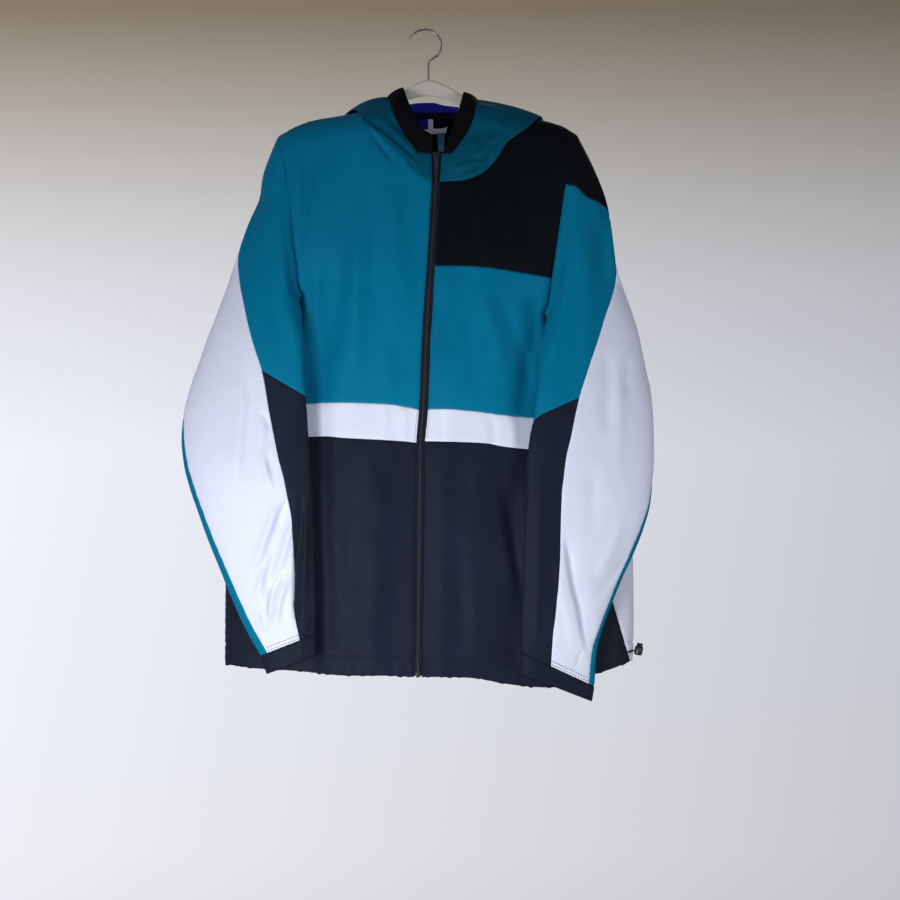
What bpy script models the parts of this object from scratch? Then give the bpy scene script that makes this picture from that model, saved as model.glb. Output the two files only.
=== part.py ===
"""Hooded windbreaker jacket hanging on a clothes hanger, as separate sewn panels.

The frame is +X to the wearer's left, +Y towards the wall behind the jacket and +Z up.
The origin is the inside top of the hanger's hook. Tables are in millimetres.
Every cloth panel is a grid of points on one of three surfaces, the body, a sleeve or
the hood, given a wall and parted from its neighbours by a seam gap.
"""
import math

import bmesh
import bpy
from mathutils import Vector
from mathutils.kdtree import KDTree

MM = 0.001
WALL = 1.4
SEAM_GAP = 0.3
TRIM = 1.0
CLEAR = 6.0
FOLD_HALF = 8.0
FOLD_SLOPE = 30.0
FOLD_RUN = 1.5
CLEAR_RUN = 0.45
AWAY_SLOPE = 2.0
UNDERARM_REACH = 0.15
UNDERARM_OFF = 3.0
SHOULDER_ROUND = 30.0
CORNER_REACH = 4.5
CORNER_GAP = 0.6
SAME_PLACE = 0.1
POINT_GAP = 3.0

HOOK_RADIUS = 20.5
HOOK_WIRE = 3.0
HANGER_HALF = 3.4
HANGER_DROP = 3.4
ZIP_HALF = 5.0
CHAIN_HALF = 2.0

TEAL = (0.000, 0.130, 0.235)
WHITE = (0.72, 0.78, 0.92)
NAVY = (0.015, 0.020, 0.036)
BLACK = (0.006, 0.008, 0.012)
BLUE = (0.012, 0.012, 0.130)
IVORY = (0.62, 0.60, 0.55)
STEEL = (0.45, 0.44, 0.42)


# ---------------------------------------------------------------- tables
# Top line of the shoulders, from the right sleeve's tip to the left one's.
SHOULDER = (("x", "z"), (
    (-260, -158), (-184, -132), (-163, -120.5), (-141, -112.5), (-110, -107), (-85, -102.5),
    (-70, -96), (-62, -92), (9, -76), (79, -92), (89, -94), (119, -104), (145, -111.5),
    (170, -118.5), (190, -130), (270, -158)))

# Edge of the body: armhole down to the underarm, then the side.
RIGHT_EDGE = (("z", "x", "front", "back", "round"), (
    (-60, -192, -14, 12, 1.2), (-132, -184, -16, 14, 1.2), (-160, -177.5, -22, 18, 1.2),
    (-190, -173.5, -28, 20, 1.2), (-225, -169, -33, 18, 1.2), (-262, -164.5, -36, 8, 1.2),
    (-300, -160, -33, -4, 1.2), (-318, -158.8, -31.5, -11, 1.15), (-327, -158.2, -28, -16.5, 1.1),
    (-330, -158, -22.5, -22.5, 1.1), (-342, -172, -20, -20, 1.1),
    (-358, -190, -14, -14, 1.1), (-378, -210, -8, -8, 1.3), (-400, -224, -4, -4, 1.5),
    (-430, -234, -1, -1, 1.8), (-480, -240, 0, 0, 2.0), (-600, -246, 0, 0, 2.0),
    (-700, -250.5, 0, 0, 2.0), (-830, -251.5, 0, 0, 2.0)))
LEFT_EDGE = (("z", "x", "front", "back", "round"), (
    (-60, 196, -14, 12, 1.2), (-130, 190, -16, 14, 1.2), (-160, 183.8, -22, 18, 1.2),
    (-192, 176.2, -28, 20, 1.2), (-245, 168, -34, 14, 1.2), (-285, 162, -34, 2, 1.2),
    (-320, 157, -33, -5, 1.2), (-340, 154.5, -31.5, -11, 1.15), (-349, 153.3, -28, -16.5, 1.1),
    (-352, 153, -22.5, -22.5, 1.1), (-364, 168, -20, -20, 1.1),
    (-382, 190, -14, -14, 1.1), (-402, 212, -8, -8, 1.3), (-425, 230, -4, -4, 1.5),
    (-455, 243, -1, -1, 1.8), (-500, 250, 0, 0, 2.0), (-600, 255.5, 0, 0, 2.0),
    (-666, 260.5, 0, 0, 2.0), (-740, 261.2, 0, 0, 2.0), (-830, 258.5, 0, 0, 2.0)))
RIGHT_UNDERARM = -330.0
LEFT_UNDERARM = -352.0
RIGHT_TIP = -184.0
RIGHT_NECK = -62.0
LEFT_NECK = 79.0
LEFT_TIP = 190.0
CENTRE = (("z", "front", "back"), (
    (-60, -22, 16), (-100, -29, 19), (-150, -38, 24), (-200, -47, 29), (-300, -57, 33),
    (-400, -61, 34), (-500, -63, 34), (-600, -63, 33), (-700, -60, 30), (-840, -54, 27)))
MIDDLE_X = 4.0

# Soft folds of the fronts and of the back: a ridge is proud (+), a valley is sunk (-).
BACK_FOLDS = (("x0", "z0", "x1", "z1", "width", "height"), (
    (-62, -340, -74, -800, 22, 5), (8, -360, 4, -800, 24, -4), (82, -340, 96, -800, 22, 5),
    (-120, -450, -158, -800, 18, -4), (132, -470, 168, -800, 18, -4)))
FOLDS = (("x0", "z0", "x1", "z1", "width", "height"), (
    (-138, -300, -122, -790, 13, -8), (-70, -150, -98, -440, 16, 6), (-44, -190, -46, -520, 15, 4),
    (-84, -170, -122, -420, 12, -5), (-72, -500, -66, -790, 20, 4),
    (26, -480, 22, -800, 16, 3), (140, -330, 118, -480, 12, -6), (112, -560, 104, -800, 16, -5),
    (95, -310, 30, -455, 15, 4), (60, -310, 20, -400, 14, -4), (72, -530, 66, -790, 18, 4)))

# Centre front: the zip's middle, from the neck seam down to the hem.
ZIP = (("z", "x"), (
    (-134, 15), (-163, 14.4), (-191, 13.8), (-275, 8.8), (-375, 2.5), (-475, -1.9),
    (-516, -5), (-663, -6.9), (-820, -8.8)))
COLLAR_TOP = -157.0
COLLAR_Y = -43.0
NECK_SEAM = -191.0
TAPE_END = -806.0
SLIDER_Z = -160.0

# Heights of the colour blocks' seams, at the sides and at the zip.
RIGHT_STRIPE = (-466.0, -507.0)
RIGHT_STRIPE_ZIP = (-475.0, -516.0)
RIGHT_HEM = -793.0
RIGHT_HEM_ZIP = -807.5
LEFT_STRIPE = (-487.0, -528.0)
LEFT_STRIPE_ZIP = (-474.0, -514.0)
LEFT_HEM = -789.0
LEFT_HEM_ZIP = -807.0
YOKE_ZIP = -295.0
HEM_DIP = 12.0
STRIPE_TOP_RIGHT = ((-147, -467), (-125, -465.8), (-100, -465.8), (-50, -467.6),
                    (-30, -470), (-6.5, -475))
STRIPE_LOW_RIGHT = ((-144, -508.5), (-125, -508), (-100, -510), (-50, -512.6),
                    (-30, -514), (-9.7, -516))
HEM_RIGHT = ((-251.5, -793), (-216, -796.5), (-156, -801), (-109, -805), (-70, -806), (-42, -806.5),
             (-13.8, -807.5))
YOKE_LOW = ((13.6, -295), (44, -295.3), (81, -297.6), (119, -303.5), (158.9, -310))
STRIPE_TOP_LEFT = ((3.2, -474), (25, -474), (69, -477.6), (94, -481), (135, -484.5), (169, -487))
STRIPE_LOW_LEFT = ((0.1, -514), (44, -515), (75, -516.5), (100, -521), (130, -524), (179, -528))
HEM_LEFT = ((-3.8, -807), (15, -807), (67, -810), (94, -815), (160, -821), (200, -808),
            (235, -797), (257, -789))
# Seam between the left front and the side piece.
SIDE_SEAM = (("z", "x"), (
    (-352, 153), (-400, 156), (-450, 160), (-487, 169), (-528, 179), (-600, 200), (-714, 234.5),
    (-789, 257)))

NECK_RIGHT = ((-62, -92), (-56, -108), (-47, -130), (-34, -155), (-14, -178), (8.8, -191))
NECK_LEFT = ((18.8, -191), (40, -181), (57, -161), (68, -137), (75, -112), (79, -92))
NECK_BACK = ((-62, -92), (-36, -101), (9, -106), (55, -101), (79, -92))

# Sleeve sections from armhole to cuff. "o" is the outer end, "i" the inner fold. "seam" and
# "strip" are the places of the white panel's two seams: 0 is the inner fold, 1 the outer
# edge, and more than 1 lies on the back.
SLEEVE_COLUMNS = ("k", "ox", "oz", "ix", "iz", "oy", "front", "back", "seam", "strip")
RIGHT_SLEEVE = (SLEEVE_COLUMNS, (
    (0, -184, -132, -158, -330, 0, 12, 12, 1.00, 1.45),
    (1, -201, -175, -166, -340, -3, 16, 12, 1.00, 1.42),
    (2, -218, -233, -161, -360, -6, 19, 12, 1.00, 1.38),
    (3, -235, -283, -155, -387, -9, 20, 12, 0.97, 1.34),
    (4, -250, -328, -151.5, -413, -12, 21, 11, 0.745, 1.28),
    (5, -262, -360, -150, -437, -15, 22, 11, 0.567, 1.22),
    (6, -272, -386, -148, -458, -17, 22, 10, 0.442, 1.15),
    (7, -282, -415, -146, -478, -19, 22, 10, 0.377, 1.09),
    (8, -294, -450, -145, -498, -21, 22, 10, 0.321, 1.03),
    (9, -302, -484, -143, -520, -23, 22, 10, 0.279, 1.00),
    (10, -304, -513, -142, -543, -25, 22, 10, 0.246, 0.98),
    (11, -301, -543, -140, -566, -27, 22, 10, 0.218, 0.97),
    (12, -294, -571, -139, -590, -29, 21, 10, 0.202, 0.96),
    (13, -283, -603, -138, -616, -31, 20, 10, 0.19, 0.955),
    (14, -270, -639, -137, -644, -33, 19, 10, 0.197, 0.945),
    (15, -256, -673, -136, -671, -35, 18, 10, 0.211, 0.935),
    (16, -243, -705, -135, -698, -37, 17, 10, 0.245, 0.92),
    (17, -230, -735, -135, -720, -38, 15, 9, 0.285, 0.905),
    (18, -217, -760, -135, -738, -39, 13, 9, 0.295, 0.89),
    (19, -205, -781, -135, -753, -40, 12, 9, 0.298, 0.88),
    (20, -197, -804, -135, -780, -40, 12, 9, 0.298, 0.88)))
LEFT_SLEEVE = (SLEEVE_COLUMNS, (
    (0, 190, -130, 153, -352, 0, 12, 12, 1.00, 1.45),
    (1, 209, -168, 161, -362, -3, 16, 12, 1.00, 1.42),
    (2, 229, -223, 156, -382, -6, 19, 12, 1.00, 1.38),
    (3, 240, -298, 148, -409, -9, 20, 12, 0.98, 1.34),
    (4, 254, -339, 142.5, -437, -12, 21, 11, 0.72, 1.28),
    (5, 266, -376, 138.5, -462, -15, 22, 11, 0.53, 1.24),
    (6, 276, -423, 135, -485, -17, 22, 10, 0.405, 1.18),
    (7, 282, -451, 131, -504, -19, 22, 10, 0.368, 1.13),
    (8, 285, -481, 128, -523, -21, 22, 10, 0.342, 1.08),
    (9, 286, -513, 126, -541, -23, 22, 10, 0.313, 1.03),
    (10, 286, -540, 125, -563, -25, 22, 10, 0.298, 1.01),
    (11, 284, -565, 125, -584, -27, 22, 10, 0.285, 1.00),
    (12, 281, -593, 124, -605, -29, 21, 10, 0.289, 0.99),
    (13, 272, -625, 123, -631, -31, 20, 10, 0.307, 0.975),
    (14, 260, -655, 122, -658, -33, 19, 10, 0.335, 0.966),
    (15, 246, -685, 122, -684, -35, 18, 10, 0.36, 0.966),
    (16, 234, -714, 121, -705, -37, 17, 10, 0.384, 0.966),
    (17, 223, -743, 120, -726, -38, 15, 9, 0.41, 0.962),
    (18, 214, -776, 120, -748, -39, 13, 9, 0.415, 0.94),
    (19, 211, -819, 119, -776, -40, 12, 9, 0.412, 0.925),
    (20, 208, -838, 119, -803, -40, 12, 9, 0.412, 0.925)))
ELBOW = 6
CUFF = 19
BLEND_END = 5.0
CAP_END = 2.0
CAP_Z = -193.0
YOKE_Z = -310.0
ARM_TOP = -130.0

# Hood, laid back: a is the band's seam, b the band's free edge, f the fold below.
HOOD_COLUMNS = ("s", "ax", "ay", "az", "bx", "by", "bz", "fx", "fy", "fz", "bulge")
HOOD_RIGHT = (HOOD_COLUMNS, (
    (0, 9.4, -43, -155, 9.4, -41, -131.5, 8.8, -48, -190.7, 1),
    (1, -7, -44, -153, 1, -42, -126, -8, -49, -180, 3),
    (2, -16, -43, -143, -6, -38, -116, -24, -46, -162, 5),
    (3, -25, -38, -131, -13, -33, -104, -41, -42, -145, 7),
    (4, -33, -31, -118, -18.5, -26, -93, -59, -36, -129, 8),
    (5, -40, -20, -102, -23, -16, -83, -76, -25, -114, 8),
    (6, -46.6, 0, -82.6, -28, 0, -70.8, -89, 0, -98.5, 5),
    (7, -52, 21, -90, -34, 18, -76, -112, 27, -118, 8),
    (8, -55, 40, -106, -38, 37, -88, -126, 38, -170, 12),
    (9, -48, 53, -119, -36, 49, -98, -119, 44, -235, 15),
    (10, -26, 61, -127, -21, 56, -104, -80, 47, -285, 17),
    (11, 8, 64, -130, 8, 59, -107, 8, 49, -305, 18)))
HOOD_LEFT = (HOOD_COLUMNS, (
    (0, 19.5, -43, -155, 19.5, -41, -134, 18.8, -48, -190.7, 1),
    (1, 31, -44, -154.5, 25, -42, -144, 45, -50, -189.5, 3),
    (2, 40, -42, -147, 30, -38, -128, 68, -48, -182, 6),
    (3, 48, -37, -136, 36, -33, -113, 88, -44, -164, 8),
    (4, 55, -30, -124.5, 40.5, -26, -102, 102, -38, -142, 9),
    (5, 61, -19, -108, 45, -16, -88, 128, -24, -122, 8),
    (6, 65.8, 0, -86.5, 49, 0, -76.4, 145, 0, -107, 4),
    (7, 70, 21, -94, 54, 18, -81, 150, 27, -124, 7),
    (8, 73, 40, -108, 57, 37, -91, 148, 38, -172, 12),
    (9, 66, 53, -120, 54, 49, -99, 136, 44, -236, 15),
    (10, 42, 61, -127, 37, 56, -104, 97, 47, -285, 17),
    (11, 8.3, 64, -130, 8.3, 59, -107, 8.3, 49, -305, 18)))
HOOD_TOP = 6
HOOD_CLEAR = 5.0
HOOD_END = 11


# ---------------------------------------------------------------- small maths
def lerp(a, b, t):
    return a + (b - a) * t


def smooth(t):
    t = min(max(t, 0.0), 1.0)
    return t * t * (3.0 - 2.0 * t)


def column(table, name):
    """One column of a table, as a list."""
    names, rows = table
    place = names.index(name)
    return [row[place] for row in rows]


def spline(keys, values, key):
    """Smooth reading of a table: Hermite pieces whose slopes never overshoot."""
    if keys[0] > keys[-1]:
        keys = keys[::-1]
        values = values[::-1]
    if key <= keys[0]:
        return values[0]
    if key >= keys[-1]:
        return values[-1]
    last = len(keys) - 1
    rise = [(values[i + 1] - values[i]) / (keys[i + 1] - keys[i]) for i in range(last)]

    def slope(i):
        if i == 0:
            return rise[0]
        if i == last:
            return rise[-1]
        if rise[i - 1] * rise[i] <= 0.0:
            return 0.0
        return 2.0 * rise[i - 1] * rise[i] / (rise[i - 1] + rise[i])

    i = max(j for j in range(last) if keys[j] <= key)
    width = keys[i + 1] - keys[i]
    t = (key - keys[i]) / width
    return (values[i] * (1 + 2 * t) * (1 - t) ** 2 + slope(i) * width * t * (1 - t) ** 2
            + values[i + 1] * t * t * (3 - 2 * t) - slope(i + 1) * width * t * t * (1 - t))


def read(table, name, key):
    """A table's column at a key, where the first column holds the keys."""
    return spline(column(table, table[0][0]), column(table, name), key)


def along(points, count):
    """Points spaced evenly along a smooth curve through the given ones."""
    distance = [0.0]
    for a, b in zip(points, points[1:]):
        distance.append(distance[-1] + math.dist(a, b))
    axes = list(zip(*points))
    result = []
    for i in range(count + 1):
        d = distance[-1] * i / count
        result.append(tuple(spline(distance, list(axis), d) for axis in axes))
    return result


# ---------------------------------------------------------------- body surface
def fold_height(x, z, table):
    """How far a table's soft folds lift the cloth at a place."""
    total = 0.0
    for x0, z0, x1, z1, width, height in table[1]:
        length = math.hypot(x1 - x0, z1 - z0)
        t = ((x - x0) * (x1 - x0) + (z - z0) * (z1 - z0)) / length ** 2
        side = ((x - x0) * (z1 - z0) - (z - z0) * (x1 - x0)) / length
        fade = smooth((t + 0.15) / 0.3) * smooth((1.15 - t) / 0.3)
        total += height * fade * math.exp(-(side / width) ** 2)
    return total


def body_y(x, z, face):
    """Depth of the body's cloth, for face "front" or "back"."""
    edge = RIGHT_EDGE if x < MIDDLE_X else LEFT_EDGE
    edge_x = read(edge, "x", z)
    edge_y = read(edge, face, z)
    roundness = read(edge, "round", z)
    t = min(max((x - edge_x) / (MIDDLE_X - edge_x), 0.0), 1.0)
    swell = (1.0 - (1.0 - t) ** 2.4) ** (1.0 / roundness)
    y = lerp(edge_y, read(CENTRE, face, z), swell)
    if face == "front":
        y -= fold_height(x, z, FOLDS) * smooth(t / 0.12)
    else:
        y += fold_height(x, z, BACK_FOLDS) * smooth(t / 0.3)
    below = min(max((read(SHOULDER, "z", x) - z) / SHOULDER_ROUND, 0.0), 1.0)
    return y * math.sqrt(1.0 - (1.0 - below) ** 2)


def body_point(x, z, face, out=0.0):
    """Point and outward normal of the body's cloth at a place."""
    y = body_y(x, z, face)
    step = 1.0
    dx = (body_y(x + step, z, face) - body_y(x - step, z, face)) / (2 * step)
    dz = (body_y(x, z + step, face) - body_y(x, z - step, face)) / (2 * step)
    sign = -1.0 if face == "front" else 1.0
    normal = Vector((-dx * sign, sign, -dz * sign)).normalized()
    return Vector((x, y, z)) + normal * out, normal


# ---------------------------------------------------------------- sleeve surface
class Sleeve:
    """A sleeve's tube: k runs from armhole to cuff, turn round the tube from 0 at the
    inner fold over the front to pi at the outer edge and back behind to 2 pi."""

    def __init__(self, table, edge):
        self.edge = edge
        keys = column(table, "k")
        self.columns = {name: (keys, column(table, name)) for name in SLEEVE_COLUMNS[1:]}
        self.sign = 1.0
        if self.normal(CUFF / 2.0, math.pi / 2.0).y > 0.0:
            self.sign = -1.0

    def value(self, name, k):
        return spline(*self.columns[name], k)

    def inner_y(self, k):
        """Depth of the inner fold: at the underarm first, then just before the front."""
        k = min(max(k, 0.0), 20.0)
        first = read(self.edge, "front", self.value("iz", 0))
        hanging = self.limit(self.value("ix", k), self.value("iz", k), CLEAR) - FOLD_HALF
        return lerp(hanging, first, max(1.0 - k / FOLD_RUN, 0.0) ** 3)

    def outer_y(self, k):
        """Depth of the outer end, which also stays before the body."""
        hanging = self.limit(self.value("ox", k), self.value("oz", k), CLEAR) - FOLD_HALF
        return min(self.value("oy", k), hanging)

    def seam_turn(self, name, k):
        """The turn at which a seam lies at k."""
        place = self.value(name, k)
        if place <= 1.0:
            return math.acos(1.0 - 2.0 * place)
        return 2.0 * math.pi - math.acos(1.0 - 2.0 * (2.0 - place))

    def plain(self, k, turn):
        """The tube's own section, before it is fitted to armhole and body."""
        s = (1.0 - math.cos(turn)) / 2.0
        x = lerp(self.value("ix", k), self.value("ox", k), s)
        z = lerp(self.value("iz", k), self.value("oz", k), s)
        y = lerp(self.inner_y(k), self.outer_y(k), s)
        if turn <= math.pi:
            y -= self.value("front", k) * math.sin(turn) ** 0.85
        else:
            y += self.value("back", k) * abs(math.sin(turn)) ** 0.85
        return Vector((x, y, z))

    def armhole(self, turn):
        """The body's armhole edge at the same turn."""
        s = (1.0 - math.cos(turn)) / 2.0
        z = lerp(self.value("iz", 0), self.value("oz", 0), s)
        x = read(self.edge, "x", z)
        return Vector((x, body_y(x, z, "front" if turn <= math.pi else "back"), z))

    def ring(self, turn):
        """The sleeve's own edge at the armhole. It stands off the body at the underarm."""
        place = (1.0 - math.cos(turn)) / 2.0
        near = max(1.0 - place / UNDERARM_REACH, 0.0) ** 2
        out = -UNDERARM_OFF if self.value("ix", 0) < 0 else UNDERARM_OFF
        return self.armhole(turn) + Vector((out, -UNDERARM_OFF / 2, UNDERARM_OFF / 2)) * near

    def limit(self, x, z, clear):
        """The furthest back that the tube may reach at a place before the body."""
        underarm = self.value("iz", 0)
        edge_x = read(self.edge, "x", z)
        inward = (x - edge_x) * (1.0 if edge_x < 0 else -1.0)
        if inward > 0.0 and underarm > z:
            return body_y(x, z, "front") - clear
        away = math.hypot(max(-inward, 0.0), max(z - underarm, 0.0))
        return read(self.edge, "front", min(z, underarm)) - clear + AWAY_SLOPE * away

    def __call__(self, k, turn):
        point = self.plain(k, turn)
        if k < BLEND_END:
            rest = 1.0 - smooth(k / BLEND_END)
            point += (self.ring(turn) - self.plain(0, turn)) * rest
        if k > 0.0:
            point.y = min(point.y, self.limit(point.x, point.z, CLEAR * smooth(k / CLEAR_RUN)))
        if 0.0 < turn <= math.pi and 0.0 < k < BLEND_END:
            place = (1.0 - math.cos(turn)) / 2.0
            proud = FOLD_HALF * smooth(k / CLEAR_RUN) * math.sin(turn) ** 0.85
            point.y = min(point.y, self(k, 0.0).y - proud + FOLD_SLOPE * place)
        return point

    def normal(self, k, turn):
        """Outward normal, from the surface's two directions."""
        step = 0.06
        k0 = max(k - step, 0.0)
        k1 = min(k + step, 20.0)
        down = self(k1, turn) - self(k0, turn)
        t0 = turn - step
        t1 = turn + step
        if t0 < 0.0:
            t0 += 2.0 * math.pi
        if t1 > 2.0 * math.pi:
            t1 -= 2.0 * math.pi
        round_tube = self(k, t1) - self(k, t0)
        normal = down.cross(round_tube)
        if normal.length < 1e-9:
            return Vector((0, -1, 0))
        return normal.normalized() * self.sign


# ---------------------------------------------------------------- hood surface
class Hood:
    """Half of the hood: s runs from the zip over the shoulder to the middle of the back.
    t runs from the band's seam (0) over the outside to the fold (1)."""

    def __init__(self, table):
        keys = column(table, "s")
        self.columns = {name: (keys, column(table, name)) for name in HOOD_COLUMNS[1:]}

    def value(self, name, s):
        return spline(*self.columns[name], s)

    def corner(self, letter, s):
        return Vector([self.value(letter + axis, s) for axis in "xyz"])

    def outward(self, s):
        """The direction in which the outer layer bulges."""
        turn = math.pi * s / HOOD_END
        side = -1.0 if self.value("fx", HOOD_TOP) < 0 else 1.0
        return Vector((side * math.sin(turn) * 0.7, -math.cos(turn), 0.7 * math.sin(turn))).normalized()

    def outer(self, s, t):
        point = self.corner("a", s).lerp(self.corner("f", s), t)
        point += self.outward(s) * self.value("bulge", s) * math.sin(math.pi * t) ** 0.8
        below = read(SHOULDER, "z", point.x) - point.z
        clear = HOOD_CLEAR * min(max((below + HOOD_CLEAR) / HOOD_CLEAR, 0.0), 1.0)
        if s < HOOD_TOP and 0.0 < s:
            point.y = min(point.y, body_y(point.x, point.z, "front") - clear * min(s, 1.0))
        elif s > HOOD_TOP:
            point.y = max(point.y, body_y(point.x, point.z, "back") + clear)
        return point

    def band(self, s, t):
        """The band, from its seam (0) to its free edge (1)."""
        point = self.outer(s, 0.0).lerp(self.corner("b", s), t)
        return point + self.outward(s) * 2.0 * math.sin(math.pi * t)


def surface_normal(surface, a, b, a_range, outward):
    """Normal of a two-way surface, turned to the side that outward points to."""
    step = 0.03
    a0 = max(a - step, a_range[0])
    a1 = min(a + step, a_range[1])
    b0 = max(b - step, 0.0)
    b1 = min(b + step, 1.0)
    normal = (surface(a1, b) - surface(a0, b)).cross(surface(a, b1) - surface(a, b0))
    if normal.length < 1e-9:
        return outward
    normal.normalize()
    if normal.dot(outward) < 0.0:
        normal.negate()
    return normal


# ---------------------------------------------------------------- panels
def material(name, colour, roughness=0.6, metallic=0.0):
    found = bpy.data.materials.get(name)
    if found:
        return found
    made = bpy.data.materials.new(name)
    made.use_nodes = True
    shader = made.node_tree.nodes["Principled BSDF"]
    shader.inputs["Base Color"].default_value = (*colour, 1.0)
    shader.inputs["Roughness"].default_value = roughness
    shader.inputs["Metallic"].default_value = metallic
    return made


def add_mesh(name, vertices, faces, look):
    """A closed mesh object in metres, with its faces turned outwards."""
    mesh = bpy.data.meshes.new(name)
    mesh.from_pydata([Vector(v) * MM for v in vertices], [], faces)
    body = bmesh.new()
    body.from_mesh(mesh)
    bmesh.ops.remove_doubles(body, verts=body.verts, dist=2e-6)
    bmesh.ops.dissolve_degenerate(body, edges=body.edges, dist=1e-6)
    bmesh.ops.delete(body, geom=[v for v in body.verts if not v.link_faces], context="VERTS")
    bmesh.ops.recalc_face_normals(body, faces=body.faces)
    body.to_mesh(mesh)
    body.free()
    mesh.materials.append(look)
    item = bpy.data.objects.new(name, mesh)
    bpy.context.scene.collection.objects.link(item)
    return item


PANELS = []
UNDERARMS = [Vector((-158, -22.5, RIGHT_UNDERARM)), Vector((153, -22.5, LEFT_UNDERARM))]


def panel(name, points, normals, look, ring=False, wall=WALL, parted=True, open_cells=(), seams=None):
    """Keeps a grid of points for the sewing step below. Seams are the places where the
    panel's border would lie if it touched its neighbours."""
    PANELS.append({"name": name, "points": points, "normals": normals, "look": look,
                   "ring": ring, "wall": wall, "parted": parted, "open": open_cells,
                   "seams": seams or points})


def border(grid, ring):
    rows = len(grid)
    columns = len(grid[0])
    for i in range(rows):
        for j in range(columns):
            if i in (0, rows - 1) or (not ring and j in (0, columns - 1)):
                yield i, j


def is_underarm(point):
    """Whether a point is the corner where body and sleeve panels all meet."""
    return any((point - corner).length < CORNER_REACH for corner in UNDERARMS)


def share_normals():
    """Neighbours get one normal along their common seam, so their walls can't cross."""
    places = [(item, i, j) for item in PANELS for i, j in border(item["points"], item["ring"])]
    tree = KDTree(len(places))
    for number, (item, i, j) in enumerate(places):
        tree.insert(item["seams"][i][j], number)
    tree.balance()
    shared = []
    for item, i, j in places:
        total = Vector()
        for point, number, distance in tree.find_range(item["seams"][i][j], SAME_PLACE):
            other, row, column_at = places[number]
            total += other["normals"][row][column_at]
        shared.append(total)
    for (item, i, j), total in zip(places, shared):
        if total.length > 0.2 and not is_underarm(item["points"][i][j]):
            item["normals"][i][j] = total.normalized()


def pulled_in(grid, normals, i, j, ring):
    """A border point moved inwards by half the seam gap."""
    rows = len(grid)
    columns = len(grid[0])
    point = grid[i][j]
    move = Vector()
    if i in (0, rows - 1):
        inner = grid[1 if i == 0 else rows - 2][j]
        before = grid[i][(j - 1) % columns if ring else max(j - 1, 0)]
        after = grid[i][(j + 1) % columns if ring else min(j + 1, columns - 1)]
        move += square_to(inner - point, after - before)
    if not ring and j in (0, columns - 1):
        inner = grid[i][1 if j == 0 else columns - 2]
        before = grid[max(i - 1, 0)][j]
        after = grid[min(i + 1, rows - 1)][j]
        move += square_to(inner - point, after - before)
    shift = move * SEAM_GAP / 2.0
    if is_underarm(point):
        shift = move * CORNER_GAP + normals[i][j] * (WALL / 2.0 + SEAM_GAP)
    return point + shift


def square_to(direction, edge):
    if edge.length > 1e-6:
        edge = edge.normalized()
        direction = direction - edge * direction.dot(edge)
    return direction.normalized() if direction.length > 1e-6 else Vector()


def best_split(points, normals):
    """The two triangles of a cell that agree best with the normals at its corners."""
    across = (points[2] - points[0]).cross(points[3] - points[1])
    sign = 1.0 if across.dot(sum(normals, Vector())) > 0.0 else -1.0

    def agreement(split):
        worst = 1.0
        for a, b, c in split:
            flat = (points[b] - points[a]).cross(points[c] - points[a]).normalized() * sign
            worst = min(worst, *(flat.dot(normals[n]) for n in (a, b, c)))
        return worst

    return max((((0, 1, 2), (0, 2, 3)), ((0, 1, 3), (1, 2, 3))), key=agreement)


def sew(item):
    """Turns one kept grid into a closed wall."""
    grid = item["points"]
    normals = item["normals"]
    ring = item["ring"]
    rows = len(grid)
    columns = len(grid[0])
    edge = set(border(grid, ring))
    flat = [(i, j) for i in range(rows) for j in range(columns)]
    middle = {}
    for i, j in flat:
        middle[i, j] = grid[i][j]
        if (i, j) in edge and item["parted"]:
            middle[i, j] = pulled_in(grid, normals, i, j, ring)
    for i in (0, rows - 1):
        if (grid[i][0] - grid[i][-1]).length < 0.01 and not ring:
            mean = sum((middle[i, j] for j in range(columns)), Vector()) / columns
            ahead = sum((grid[1 if i == 0 else i - 1][j] for j in range(columns)), Vector()) / columns
            mean += (ahead - mean).normalized() * POINT_GAP
            shared = sum((normals[i][j] for j in range(columns)), Vector()).normalized()
            for j in range(columns):
                middle[i, j] = mean
                normals[i][j] = shared
    half = item["wall"] / 2.0
    outer = [middle[i, j] + normals[i][j] * half for i, j in flat]
    inner = [middle[i, j] - normals[i][j] * half for i, j in flat]
    count = len(flat)

    def at(i, j):
        return i * columns + j % columns

    faces = []
    rims = {}
    for i in range(rows - 1):
        for j in range(columns if ring else columns - 1):
            if (i, j) in item["open"]:
                continue
            a, b, c, d = at(i, j), at(i, j + 1), at(i + 1, j + 1), at(i + 1, j)
            corners = [flat[n] for n in (a, b, c, d)]
            split = best_split([middle[n] for n in corners], [normals[n[0]][n[1]] for n in corners])
            for p, q, r in [[(a, b, c, d)[n] for n in three] for three in split]:
                faces.append((p, q, r))
                faces.append((p + count, r + count, q + count))
            for p, q in ((a, b), (b, c), (c, d), (d, a)):
                if (q, p) in rims:
                    del rims[q, p]
                else:
                    rims[p, q] = True
    for p, q in rims:
        if (outer[p] - inner[q]).length < (outer[q] - inner[p]).length:
            faces += [(p, q, q + count), (p, q + count, p + count)]
        else:
            faces += [(p, q, p + count), (q, q + count, p + count)]
    return add_mesh(item["name"], outer + inner, faces, item["look"])


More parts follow.
